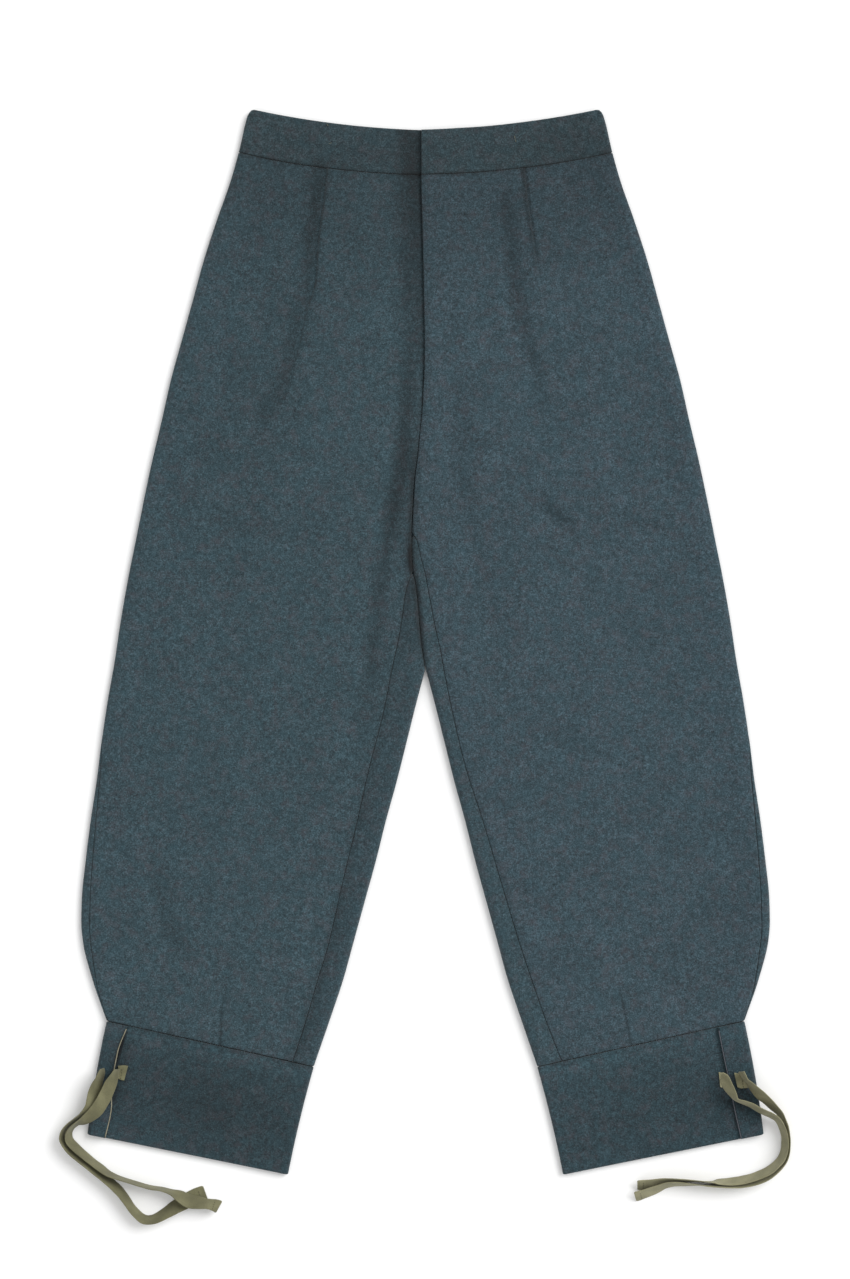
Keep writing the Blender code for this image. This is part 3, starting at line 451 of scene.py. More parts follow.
# Pressed pleats, and the short darts above the cuffs on the same line: (y, x, height of the step)
PLEAT = {
    -1: ((475, -99.1, 1.6), (447, -101.8, 2.0), (402, -107.8, 2.0), (361, -110.8, 1.7),
         (330, -119.8, 1.2), (290, -128.8, 0.8), (257, -136.8, 0.5), (210, -159.8, 0.2),
         (150, -172.0, 0.0), (-200, -192.0, 0.0), (-326, -196.9, 0.0), (-363, -201.5, 0.0),
         (-402, -205.6, 0.0)),
    1: ((475, 99.7, 1.2), (446, 102.4, 1.6), (413, 107.4, 1.6), (376, 112.3, 1.1),
        (345, 118.2, 0.6), (300, 125.2, 0.3), (240, 135.2, 0.1), (150, 160.0, 0.0),
        (-200, 182.0, 0.0), (-337, 191.8, 0.0), (-371, 199.1, 0.0), (-402, 205.8, 0.0)),
}
PLEAT_STEP = 2.4
PLEAT_RAISE = 1.15
PLEAT_FADE = 26.0
DART_TOP = -322.0
DART_DEPTH = 0.45

# Air between the layers, which lets the front rise and fall, how far from the outer edge and the
# centre its folds start, and how deep they then are
AIR = 1.7
EDGE_CLEAR = 12.0
CENTRE_CLEAR = 6.0
FOLD_SCALE = 2.4
LOWEST = 4.3

# Soft folds of the front: half width, then (x, y, height) down each one
FOLDS = (
    (9, ((-23, 293, 0), (-25, 250, -0.6), (-31, 190, -0.7), (-37, 120, -0.7), (-46, 60, -0.6),
         (-54, -30, -0.6), (-66, -100, -0.5), (-76, -150, 0))),
    (7, ((-9, 285, 0), (-9, 240, 0.4), (-14, 200, 0.4), (-22, 140, 0))),
    (6, ((-22, 60, 0), (-31, 10, 0.4), (-49, -69, 0.4), (-71, -195, 0.3), (-86, -260, 0))),
    (13, ((-242, 133, 0), (-200, 123, -0.6), (-160, 117, -0.7), (-110, 125, -0.4), (-80, 131, 0))),
    (10, ((-110, 330, 0), (-120, 280, -0.5), (-140, 230, -0.6), (-160, 190, 0))),
    (10, ((-283, -165, 0), (-279, -190, -0.3), (-265, -247, -0.6), (-256, -284, -0.7), (-247, -306, -0.7),
          (-228, -321, -0.5), (-205, -334, 0))),
    (9, ((74, 445, 0), (86, 400, -0.4), (92, 330, -0.5), (109, 270, -0.4), (121, 225, 0))),
    (11, ((33, 275, 0), (34, 210, -0.4), (44, 135, -0.55), (57, 75, -0.55), (76, 0, -0.5),
          (94, -50, 0))),
    (13, ((78, -30, 0), (105, -75, -0.6), (145, -100, -0.5), (185, -125, 0))),
    (7, ((104, 152, 0), (124, 126, -0.5), (150, 108, 0))),
    (24, ((82, 96, 0), (117, 30, 0.8), (155, -10, 0.9), (212, -110, 0.5), (235, -150, 0))),
    (10, ((-180, -60, 0), (-150, -78, -0.35), (-120, -84, 0))),
    (12, ((-210, -110, 0), (-165, -128, -0.35), (-120, -126, 0))),
    (10, ((120, -230, 0), (150, -262, -0.4), (196, -318, -0.35), (205, -345, 0))),
    (9, ((-130, -250, 0), (-118, -290, -0.35), (-112, -330, 0))),
    (14, ((170, -170, 0), (205, -190, -0.35), (240, -186, 0))),
)

# Low troughs of the same kind in the hidden under side, which lies flat on the table between them
UNDER_FOLDS = (
    (9, ((-40, 230, 0), (-62, 180, 0.6), (-90, 130, 0.7), (-130, 90, 0))),
    (12, ((-240, 150, 0), (-190, 120, 0.6), (-150, 108, 0.5), (-100, 112, 0))),
    (8, ((-60, 30, 0), (-78, -30, 0.6), (-90, -100, 0.5), (-104, -160, 0))),
    (11, ((-150, -190, 0), (-185, -230, 0.5), (-240, -262, 0.6), (-275, -262, 0))),
    (10, ((50, 250, 0), (66, 190, 0.6), (98, 130, 0.7), (140, 96, 0))),
    (9, ((90, 60, 0), (110, 0, 0.6), (124, -70, 0.6), (130, -130, 0))),
    (12, ((250, 130, 0), (205, 110, 0.5), (170, 60, 0.5), (160, 10, 0))),
    (10, ((160, -200, 0), (190, -235, 0.6), (240, -262, 0.5), (276, -258, 0))),
    (8, ((-120, 400, 0), (-112, 340, 0.5), (-118, 290, 0))),
    (8, ((126, 410, 0), (118, 350, 0.5), (124, 296, 0))),
)


def smoothstep(t):
    """Smooth rise from 0 to 1 as t goes from 0 to 1."""
    t = np.clip(t, 0.0, 1.0)
    return t * t * (3 - 2 * t)


def read(table, at, column=1):
    """Read a table of (position, value, ...) rows at one position or more, on a smooth curve."""
    rows = np.array(sorted(table), float)
    x, y = rows[:, 0], rows[:, column]
    width = np.diff(x)
    chord = np.diff(y) / width
    product = chord[:-1] * chord[1:]
    total = chord[:-1] + chord[1:]
    middle = np.where(product > 0, 2 * product / np.where(product > 0, total, 1.0), 0.0)
    slope = np.concatenate((chord[:1], middle, chord[-1:]))
    at = np.clip(at, x[0], x[-1])
    k = np.clip(np.searchsorted(x, at) - 1, 0, len(x) - 2)
    t = (at - x[k]) / width[k]
    return ((1 + 2 * t) * (1 - t) ** 2 * y[k] + t * (1 - t) ** 2 * width[k] * slope[k]
            + t * t * (3 - 2 * t) * y[k + 1] + t * t * (t - 1) * width[k] * slope[k + 1])


def strokes(table, x, y):
    """Sum of soft strokes: each has a half width, and (x, y, amount) down its middle."""
    total = np.zeros_like(x)
    for half_width, line in table:
        nearest = np.full_like(x, 1e9)
        height = np.zeros_like(x)
        for (x0, y0, z0), (x1, y1, z1) in zip(line, line[1:]):
            dx, dy = x1 - x0, y1 - y0
            t = np.clip(((x - x0) * dx + (y - y0) * dy) / (dx * dx + dy * dy), 0, 1)
            away = np.hypot(x - x0 - t * dx, y - y0 - t * dy)
            closer = away < nearest
            nearest = np.where(closer, away, nearest)
            height = np.where(closer, z0 + t * (z1 - z0), height)
        bell = 0.5 + 0.5 * np.cos(np.pi * np.clip(nearest / (2 * half_width), 0, 1))
        total += height * bell
    return total


# Painted shade and painted highlights for the creases, ridges, pleats, darts and inseams, broad painted
# shade over the waist and the cuffs, and painted shadows in the cuffs' slits and under the ties: half
# width, then (x, y, share of the colour added) down each one
TOP_SIDE = 3.6
DARKEST_PAINTED_SHADE = -0.9
PAINTED_SHADE_STROKES = (
    (7, ((-17, 300, 0), (-17, 277, -0.28), (-18, 247, -0.4), (-21, 217, -0.45), (-22, 187, -0.43),
         (-28, 157, -0.43), (-34, 127, -0.42), (-40, 87, -0.36), (-47, 50, -0.31), (-50, 25, -0.3),
         (-53, 0, -0.28), (-55, -32, -0.18), (-64, -73, -0.12), (-70, -100, 0))),
    (9, ((-243, 133, 0), (-217, 129, -0.1), (-180, 116, -0.15), (-154, 113, -0.16), (-127, 109, -0.13),
         (-82, 126, 0))),
    (8, ((31, 277, 0), (35, 257, -0.08), (37, 227, -0.16), (34, 177, -0.2), (43, 138, -0.2),
         (47, 117, -0.17), (54, 80, -0.1), (74, -1, -0.05), (79, -45, -0.06), (100, -74, -0.06),
         (144, -96, -0.05), (181, -125, 0))),
    (6, ((104, 153, 0), (115, 143, -0.32), (135, 125, -0.36), (152, 109, -0.18), (160, 102, 0))),
    (7, ((-280, -191, 0), (-266, -247, -0.17), (-257, -284, -0.2), (-248, -306, -0.17),
         (-229, -321, -0.1), (-218, -332, 0))),
    (8, ((-105.8, 475, -0.27), (-107.8, 462, -0.33), (-109.8, 436, -0.33), (-114.8, 403, -0.32),
         (-115.8, 361, -0.24), (-124.8, 330, -0.24), (-133.8, 290, -0.27), (-141.8, 257, -0.28),
         (-158, 235, -0.25), (-164, 210, -0.16), (-172, 180, 0))),
    (3, ((98.4, 473, -0.4), (100.8, 446, -0.4), (105.8, 413, -0.4), (110.8, 376, -0.24), (115.8, 356, 0))),
    (7, ((71, 452, 0), (80, 442, -0.2), (87, 399, -0.26), (90, 356, -0.3), (97, 316, -0.3),
         (110, 280, -0.22), (117, 243, -0.16), (123, 227, 0))),
    (80, ((-150, 480, -0.26), (0, 450, -0.23), (150, 480, -0.28))),
    (24, ((150, 505, -0.06), (187, 470, -0.1), (205, 420, -0.05), (225, 350, 0))),
    (18, ((200, 300, 0), (232, 250, -0.06), (252, 200, -0.05), (262, 150, 0))),
    (50, ((-150, 330, -0.08), (-190, 230, -0.1), (-215, 160, -0.05), (-220, 120, 0))),
    (40, ((80, 110, 0), (115, 40, 0.05), (190, -100, 0.04), (220, -150, 0))),
    (36, ((-285, -442, -0.18), (-225, -464, -0.33), (-165, -480, -0.25))),
    (36, ((300, -455, -0.17), (240, -470, -0.15), (180, -484, -0.13))),
    (30, ((300, -200, 0), (300, -270, -0.08), (290, -330, -0.08), (280, -380, 0))),
    (11, ((-14, 215, 0), (-15, 180, -0.14), (-17, 130, -0.2), (-18, 80, -0.2), (-16, 60, 0))),
    (5, ((-13.5, 66, -0.1), (-14.5, 50, -0.2), (-15, 13, -0.22), (-16, -10, -0.18), (-21, -40, -0.1),
         (-30, -80, 0))),
    (3.5, ((-11.4, 66, -0.3), (-9.8, 50, -0.5), (-8.3, 40, -0.5), (-6, 13, -0.5), (-4.5, -2, -0.45),
         (-2.6, -16, -0.35), (-0.5, -26, 0))),
    (4, ((-31, 106, 0), (-31, 95, 0.12), (-29.5, 70, 0.15), (-31, 50, 0.1), (-33, 35, 0))),
    (9, ((-16, -30, 0), (-22, -62, -0.1), (-54, -178, -0.14), (-85, -301, -0.14), (-110, -384, -0.12),
         (-120, -420, -0.1))),
    (1.3, ((-197.3, -330, 0), (-199.5, -345, -0.2), (-203.6, -367, -0.4), (-205.4, -398, -0.45),
           (-206, -410, -0.4))),
    (1.3, ((192, -337, 0), (194, -350, -0.2), (196.5, -357, -0.3), (199.1, -371, -0.4),
           (205, -400, -0.4))),
    (4, tuple((x + 2.5, y, -0.26) for y, x in INSEAM[-1][1:])),
    (3.5, tuple((x + 2, y, -0.14) for y, x in INSEAM[1][2:])),
    (1.9, ((-299, -387, -0.3), (-301, -393, -0.85), (-304.5, -403, -0.88), (-308, -413, -0.7),
           (-310.5, -421, -0.5), (-311.5, -430, -0.3), (-311, -460, -0.15), (-314, -470, 0))),
    (7, ((-298, -396, -0.12), (-303, -412, -0.28), (-306, -428, -0.32), (-309, -448, -0.3),
         (-309, -470, -0.1))),
    (10, ((286, -445, -0.1), (302, -455, -0.3), (317, -461, -0.34), (330, -468, -0.3))),
    (1.6, ((291, -386, -0.4), (292, -397, -0.2), (296, -414, -0.1), (300, -432, -0.1),
           (304, -456, -0.1), (309, -475, -0.15), (314, -492, -0.1))),
)


def unevenness(x, y):
    """Slight rise and fall of heavy cloth that has been pressed and laid out."""
    broad = np.sin(x / 31 + 0.8 * np.sin(y / 47)) * np.sin(y / 39 + 1.1 + 0.6 * np.sin(x / 53))
    close = np.sin(x / 13.7 - y / 21.3 + 0.9 * np.sin(y / 17.0)) * np.sin(y / 12.1 + x / 33.0)
    return 0.16 * broad + 0.07 * close


def pleat_relief(side, x, y):
    """Height that the pressed pleat adds: a step up towards the fly that fades away from it."""
    step = PLEAT_RAISE * read(PLEAT[side], y, 2)
    towards_fly = side * (read(PLEAT[side], y) - x)
    rise = np.where(towards_fly > 0, np.exp(-np.maximum(towards_fly, 0) / PLEAT_FADE), 0.0)
    step_up = step * rise * smoothstep(towards_fly / PLEAT_STEP)
    foot = -0.2 * step * np.exp(-(towards_fly / 1.6) ** 2)
    dart = -DART_DEPTH * smoothstep((DART_TOP - y) / 45) * np.exp(-(towards_fly / 1.2) ** 2)
    return step_up + foot + dart


class Level:
    """One level across half of the garment, from the outer edge to the centre."""

    def __init__(self, side, y, dip=None):
        self.side = side
        self.level_y = y
        self.outer_y = y + read(LEVEL_RISE, y)
        self.below_apex = y <= APEX + 0.01
        self.outer = (side * read(SIDE_EDGE, self.outer_y), self.outer_y)
        fade = smoothstep(1 - (WAIST_SEAM - y) / WAIST_DIP_RUN)
        self.dip = WAIST_DIP * fade if dip is None else dip
        self.roll = math.radians(read(CENTRE_ROLL, y))
        self.seat_roll = math.radians(read(SEAT_ROLL, y)) if y < APEX + 8 else 0.0
        space = side * read(LEG_SPACE, self.level_y)
        self.top_centre = (space if self.below_apex else read(CENTRE_LINE, self.level_y), self.level_y)
        self.under_centre = (space if self.below_apex else 0.0, self.level_y)
        inset = read(SIDE_SEAM_INSET, self.outer_y)
        if inset < FOLD_RADIUS:
            self.seam = FOLD_RADIUS * math.acos(1 - inset / FOLD_RADIUS)
        else:
            self.seam = inset - FOLD_RADIUS + QUARTER
        self.inseam = self.inseam_distance()
        self.between_seams = smoothstep((WAIST_SEAM - y) / 24) * smoothstep((y - CUFF_SEAM) / 24)

    def length(self, centre):
        return math.dist(self.outer, centre)

    def place(self, from_outer, centre):
        """Points on the level at distances from the outer edge."""
        t = from_outer / self.length(centre)
        x = self.outer[0] + t * (centre[0] - self.outer[0])
        y = self.outer[1] + t * (centre[1] - self.outer[1])
        t = np.clip(t, 0.0, 1.0)
        return x, y - self.dip * 4 * t * (1 - t)

    def inseam_distance(self):
        """Arc from the centre to the inseam, 0 above the crotch."""
        if self.level_y >= CROTCH[self.side]:
            return 0.0
        length = self.length(self.top_centre)
        low, high = 0.0, 60.0
        for _ in range(24):
            middle = (low + high) / 2
            x, y = self.place(length - middle, self.top_centre)
            if self.side * (x - read(INSEAM[self.side], y)) > 0:
                high = middle
            else:
                low = middle
        reach = FOLD_RADIUS * math.sin(self.roll)
        if low >= reach:
            return low - reach + FOLD_RADIUS * self.roll
        return FOLD_RADIUS * (self.roll - math.asin(math.sin(self.roll) - low / FOLD_RADIUS))

    def inward(self, centre, sideways, upwards):
        """Directions into the cloth, from parts towards the centre and parts upwards."""
        length = self.length(centre)
        x = (centre[0] - self.outer[0]) / length
        y = (centre[1] - self.outer[1]) / length
        return np.stack(np.broadcast_arrays(x * sideways, y * sideways, upwards), -1)

    def rolled(self, arc, roll):
        """Distance in plan, drop and remaining angle at arcs from a rolled centre edge."""
        bent = FOLD_RADIUS * roll
        angle = np.maximum(roll - arc / FOLD_RADIUS, 0.0)
        distance = np.where(arc >= bent, arc - bent + FOLD_RADIUS * math.sin(roll),
                            FOLD_RADIUS * (math.sin(roll) - np.sin(angle)))
        return distance, FOLD_RADIUS * (1 - np.cos(angle)), angle

    def flat(self, from_outer, height):
        """Top layer's outer points at plan distances from the outer edge."""
        length = self.length(self.top_centre)
        x, y = self.place(from_outer, self.top_centre)
        z = height(x, y, from_outer, length - from_outer, self.between_seams)
        return np.stack((x, y, z), 1), self.inward(self.top_centre, np.zeros_like(x), -1.0)

    def top(self, arc, height):
        """Top layer's outer points at arcs from the centre."""
        distance, drop, angle = self.rolled(arc, self.roll)
        length = self.length(self.top_centre)
        x, y = self.place(length - distance, self.top_centre)
        z = height(x, y, length - distance, distance, self.between_seams) - drop
        return np.stack((x, y, z), 1), self.inward(self.top_centre, -np.sin(angle), -np.cos(angle))

    def under(self, arc):
        """Under layer's outer points at arcs from the centre."""
        distance, rise, angle = self.rolled(arc, self.seat_roll)
        x, y = self.place(self.length(self.under_centre) - distance, self.under_centre)
        return np.stack((x, y, rise), 1), self.inward(self.under_centre, -np.sin(angle), np.cos(angle))

    def table(self, from_outer):
        """Under layer's outer points at plan distances from the outer edge, on the table."""
        x, y = self.place(from_outer, self.under_centre)
        z = self.between_seams * np.maximum(strokes(UNDER_FOLDS, x, y), 0)
        return np.stack((x, y, z), 1), self.inward(self.under_centre, np.zeros_like(x), 1.0)

    def edge(self, arc, height):
        """Outer points near the outer fold, at arcs from its extreme, up is positive."""
        angle = np.clip(arc, -QUARTER, QUARTER) / FOLD_RADIUS
        near = np.abs(arc) < QUARTER
        distance = np.where(near, FOLD_RADIUS * (1 - np.cos(angle)), FOLD_RADIUS + np.abs(arc) - QUARTER)
        up = arc > 0
        above = self.place(distance, self.top_centre)
        below = self.place(distance, self.under_centre)
        x, y = np.where(up, above[0], below[0]), np.where(up, above[1], below[1])
        inward = self.length(self.top_centre) - distance
        flat = np.where(up, height(x, y, distance, inward, self.between_seams), 0.0)
        z = np.where(near, FOLD_RADIUS * (1 + np.sin(angle)), flat)
        centre = self.top_centre
        return np.stack((x, y, z), 1), self.inward(centre, np.cos(angle) * near, -np.sin(angle))


def seam_painted_stroke(half_width, side, y, amount, below=0.0):
    """Stroke of painted shade along a seam that crosses one side of the garment; a positive amount paints a
    highlight instead.
    """
    level = Level(side, y)
    x, y = level.place(np.linspace(0, level.length(level.top_centre), 12), level.top_centre)
    return half_width, tuple((a, b - below, amount) for a, b in zip(x, y))


# Painted shade along the waist seam and the cuff seams, with painted highlights on the cuffs' top edges just
# below their seams
SEAM_PAINTED_LIGHT_AND_SHADE = (
    seam_painted_stroke(2.2, -1, WAIST_SEAM, -0.15), seam_painted_stroke(2.2, 1, WAIST_SEAM, -0.15),
    seam_painted_stroke(2.2, -1, CUFF_SEAM, -0.28), seam_painted_stroke(2.2, 1, CUFF_SEAM, -0.12),
    seam_painted_stroke(6, -1, CUFF_SEAM, 0.2, below=8), seam_painted_stroke(6, 1, CUFF_SEAM, 0.2, below=8),
)


def settle(edge, middle, centre, out, inward, strip, run=EDGE_RUN):
    """Height between the outer edge, the middle of the panel and the centre line."""
    near_edge = 1 - smoothstep(out / run)
    near_centre = 1 - smoothstep((inward - strip) / run)
    return middle + (edge - middle) * near_edge + (centre - middle) * near_centre


def panel_height(side):
    """Height function of the top layer of the leg on one side."""
    def height(x, y, out, inward, seams):
        centre = read(CENTRE_HEIGHT[side], y)
        strip = read(CENTRE_STRIP[side], y)
        base = settle(EDGE_HEIGHT, PANEL_HEIGHT, centre, out, inward, strip)
        clear = smoothstep(out / EDGE_CLEAR) * smoothstep(inward / CENTRE_CLEAR)
        folds = seams * (AIR + FOLD_SCALE * strokes(FOLDS, x, y) + unevenness(x, y))
        raised = base + clear * (folds + pleat_relief(side, x, y))
        return np.where(base < LOWEST + 0.4, raised, np.maximum(raised, LOWEST))
    return height


def spread(start, end, count):
    """Evenly spaced values between two ends, without the ends."""
    return np.linspace(start, end, count + 2)[1:-1]


# Distances of the columns from a seam, close together where the cloth's edge rolls in
SEAM_COLUMNS = np.array((0, 0.35, 0.8, 1.3, 2.0, 3.2, 5.0, 7.5, 10.5, 14))


class Cloth:
    """A wall of cloth built from rows of points on its outer surface."""

    def __init__(self):
        self.points, self.inward, self.faces = [], [], []
        self.count = 0

    def row(self, *parts):
        points = np.concatenate([p for p, _ in parts])
        self.points.append(points)
        self.inward.append(np.concatenate([d for _, d in parts]))
        self.count += len(points)
        return np.arange(self.count - len(points), self.count)

    def join(self, upper, lower):
        self.faces.append(np.stack((upper[:-1], lower[:-1], lower[1:], upper[1:]), 1))

    def rims(self, faces):
        """Edges that only one face has, each in the order that the wall's rim needs."""
        edges = np.concatenate([np.stack((faces[:, k], faces[:, (k + 1) % 4]), 1) for k in range(4)])
        keys = np.sort(edges, axis=1)
        _, index, counts = np.unique(keys, axis=0, return_inverse=True, return_counts=True)
        return edges[counts[index.ravel()] == 1]

    def wall(self, name, thickness, material, reverse, extra_painted_shade=()):
        """The wall as an object: its rims are rolled in, as a seam draws cloth down."""
        points, inward = np.concatenate(self.points), np.concatenate(self.inward)
        faces = np.concatenate(self.faces)
        if reverse:
            faces = faces[:, ::-1]
        rims = self.rims(faces)
        tree = KDTree(len(rims) * 8)
        for k, (a, b) in enumerate(rims):
            for j in range(8):
                tree.insert(points[a] + (points[b] - points[a]) * j / 8, k * 8 + j)
        tree.balance()
        near = np.array([tree.find(p)[2] for p in points])
        share = np.clip(near / ROLLED_RIM, 0, 1)
        drop = thickness * 0.45 * (1 - np.sqrt(1 - (1 - share) ** 2))
        outer = points + inward * drop[:, None]
        inner = points + inward * (thickness - drop)[:, None]
        count = len(points)
        sides = np.stack((rims[:, 1], rims[:, 0], rims[:, 0] + count, rims[:, 1] + count), 1)
        every = np.concatenate((faces, faces[:, ::-1] + count, sides))
        made = mesh_object(name, np.concatenate((outer, inner)), every.tolist(), material)
        # Painted shade and painted highlights from the strokes, on the top side only, kept as a point
        # attribute for the wool's colour
        tone = strokes(PAINTED_SHADE_STROKES + SEAM_PAINTED_LIGHT_AND_SHADE + tuple(extra_painted_shade), points[:, 0], points[:, 1])
        tone = np.maximum(tone, DARKEST_PAINTED_SHADE) * (points[:, 2] > TOP_SIDE)
        painted_shade_layer = made.data.attributes.new("painted_crease_shade", "FLOAT", "POINT")
        painted_shade_layer.data.foreach_set("value", np.concatenate((tone, tone)))
        return made


# Keeps the weighed noises of the wool centred on the middle of its shades
FIBRE_OFFSET = -0.13


def melton(name, dark, middle, light):
    """Melton wool, milled so that the fibres felt over the weave: matt, soft, and mottled by dyed fibres
    of slightly different colours. The fibre pattern is drawn at 1.4 mm, coarser than life, to show."""
    made, tree, shader = new_material(name)
    place = add_node(tree, "ShaderNodeTexCoord").outputs["Object"]
    fibre = noise(tree, place, 700.0, detail=3.0, roughness=0.7, distortion=0.2)
    matted = noise(tree, place, 240.0, detail=4.0, roughness=0.66, distortion=0.2)
    cloud = noise(tree, place, 30.0, detail=2.0)
    weighed = FIBRE_OFFSET
    for value, weight in ((fibre, 0.78), (matted, 0.41), (cloud, 0.07)):
        weighed = add_node(tree, "ShaderNodeMath", [(0, value), (1, weight), (2, weighed)],
                           operation="MULTIPLY_ADD").outputs["Value"]
    tone = shades(tree, weighed, (0.3, dark), (0.5, middle), (0.7, light))
    dyed = noise(tree, place, 95.0, detail=4.0, roughness=0.62)
    warm = add_node(tree, "ShaderNodeMapRange", [
        ("Value", dyed), ("From Min", 0.5), ("From Max", 0.75), ("To Max", 0.36)])
    cool = add_node(tree, "ShaderNodeMapRange", [
        ("Value", dyed), ("From Min", 0.5), ("From Max", 0.25), ("To Max", 0.42)])
    warmed = add_node(tree, "ShaderNodeMix", [
        ("Factor", warm.outputs["Result"]), ("A", tone), ("B", linear("#4A444A"))],
        data_type="RGBA")
    cooled = add_node(tree, "ShaderNodeMix", [
        ("Factor", cool.outputs["Result"]), ("A", warmed.outputs["Result"]), ("B", linear("#27434C"))],
        data_type="RGBA")
    # Painted shade and painted highlights: the wool's colour is multiplied by one plus the painted crease
    # shade attribute
    painted_shade_here = add_node(tree, "ShaderNodeAttribute", attribute_name="painted_crease_shade")
    share = add_node(tree, "ShaderNodeMath", [(0, painted_shade_here.outputs["Fac"]), (1, 1.0)], operation="ADD")
    painted_shade_mix = add_node(tree, "ShaderNodeMix", [
        ("Factor", 1.0), ("A", cooled.outputs["Result"]), ("B", share.outputs["Value"])],
        data_type="RGBA", blend_type="MULTIPLY")
    nap = noise(tree, place, 1300.0, detail=2.0)
    felt = add_node(tree, "ShaderNodeMath", [(0, nap), (1, 0.5), (2, fibre)], operation="MULTIPLY_ADD")
    bump = add_node(tree, "ShaderNodeBump", [
        ("Height", felt.outputs["Value"]), ("Strength", 0.45), ("Distance", 0.5 * MM)])
    tree.links.new(painted_shade_mix.outputs["Result"], shader.inputs["Base Color"])
    tree.links.new(bump.outputs["Normal"], shader.inputs["Normal"])
    shader.inputs["Roughness"].default_value = 0.95
    shader.inputs["Specular IOR Level"].default_value = 0.2
    shader.inputs["Sheen Weight"].default_value = 0.12
    shader.inputs["Sheen Roughness"].default_value = 0.6
    return made


def leg_levels(side):
    """Levels of one leg, close together at the two seams and round the apex."""
    near = SEAM_COLUMNS[:8]
    wanted = [WAIST_SEAM - HALF_GAP - d for d in near]
    wanted += [CUFF_SEAM + HALF_GAP + d for d in near]
    wanted += [APEX + d for d in (7, 3.5, 1.5, 0)]
    wanted += list(spread(WAIST_SEAM - 7.6, APEX + 7, round((WAIST_SEAM - APEX) / ROW_STEP)))
    wanted += list(spread(APEX, CUFF_SEAM + 7.6, round((APEX - CUFF_SEAM) / ROW_STEP)))
    return [Level(side, y) for y in sorted(wanted, reverse=True)]


def back_piece(side, name, material):
    """Back piece: flat underneath, round the outer edge, and round the inner edge to the inseam."""
    height = panel_height(side)
    cloth = Cloth()
    above = None
    for level in leg_levels(side):
        start = level.seam - HALF_GAP
        fold = np.concatenate((start - SEAM_COLUMNS[:5], np.linspace(start - 3.2, -QUARTER, 9)))
        end = level.length(level.under_centre) - QUARTER + FOLD_RADIUS * (
            level.seat_roll - math.sin(level.seat_roll))
        gap = 0.0 if level.below_apex else HALF_GAP
        closing = gap + QUARTER * np.array((1, 0.8, 0.6, 0.4, 0.24, 0.14, 0.06, 0))
        under = cloth.row(level.edge(fold, height), level.table(spread(FOLD_RADIUS, end, 40)),
                          level.under(closing))
        flap = np.array((), int)
        if level.inseam > 1.0:
            last = level.inseam - HALF_GAP
            bend = min(QUARTER, 0.45 * last)
            rolling = (gap + np.array((0, 0.06, 0.14, 0.26, 0.45, 0.7, 1)) * bend)
            rim = SEAM_COLUMNS[:6][::-1] * min(1, (last - bend) / 6)
            arcs = np.concatenate((rolling, spread(rolling[-1], last - rim[0], 6), last - rim))
            if level.below_apex:
                flap = np.append(under[-1], cloth.row(level.top(arcs[1:], height)))
            else:
                flap = cloth.row(level.top(arcs, height))
        if above is not None:
            cloth.join(above[0], under)
            if len(above[1]) and len(flap):
                cloth.join(above[1], flap)
        above = (under, flap)
    return cloth.wall(name, CLOTH, material, reverse=side < 0)


wool_back = melton("melton_wool_back", "#121C22", "#2B3C42", "#495F69")
for side, node in ((-1, "back_right"), (1, "back_left")):
    back = back_piece(side, "wool_" + node, wool_back)
    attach(back, "root")
    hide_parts(node)


# Front pieces
# Two pieces of the same melton, each with one pressed pleat turned towards the fly and a short dart
# above the cuff. The right front carries on below the left one, which laps over it at the fly.
UNDERLAP = 31.0
SIDE_RUN = 28.0
CENTRE_RUN = 40.0


def front_row(level, height):
    """Parts of a front piece's row, from the side seam to the fly or the inseam."""
    length = level.length(level.top_centre)
    pleat = length
    for _ in range(6):
        x, y = level.place(pleat, level.top_centre)
        pleat += level.side * (x - read(PLEAT[level.side], y))
    start, last = level.seam + HALF_GAP, level.inseam + HALF_GAP
    outer = start + SIDE_RUN - QUARTER + FOLD_RADIUS
    inner = length - last - CENTRE_RUN
    close = np.array((5, 3.4, 2.3, 1.5, 0.9, 0.4))
    across = np.concatenate((
        spread(outer, pleat - 7, 20), pleat - close, [pleat], pleat + close[::-1] * 1.2,
        spread(pleat + 8, inner, 20)))
    seam_side = start + np.concatenate((SEAM_COLUMNS, (18, 23, SIDE_RUN)))
    centre_side = last + np.concatenate(((37, 32, 27, 22.5, 18), SEAM_COLUMNS[::-1]))
    return [level.edge(seam_side, height), level.flat(across, height), level.top(centre_side, height)]


def underlap_row(level, z):
    """The strip that the right front carries on under the left one."""
    other = Level(1, level.level_y, dip=level.dip)
    length = other.length(other.top_centre)
    x, y = other.place(length - np.array((2, 6, 12, 18, 24, 28, 30, UNDERLAP)), other.top_centre)
    return np.stack((x, y, np.full_like(x, z)), 1), other.inward(other.top_centre, np.zeros_like(x), -1.0)


def front_piece(side, name, material):
    """Front piece: side seam to centre front above the crotch, to the inseam below it."""
    height = panel_height(side)
    cloth = Cloth()
    above = None
    for level in leg_levels(side):
        parts = front_row(level, height)
        row = cloth.row(*parts)
        lap = np.array((), int)
        if side < 0 and level.level_y >= FLY_END:
            lap = cloth.row(underlap_row(level, parts[-1][0][-1, 2]))
        if above is not None:
            cloth.join(above[0], row)
            if len(lap):
                cloth.join(np.append(above[0][-1], above[1]), np.append(row[-1], lap))
        above = (row, lap)
    return cloth.wall(name, CLOTH, material, reverse=side > 0, extra_painted_shade=FLY_PAINTED_SHADE if side < 0 else ())


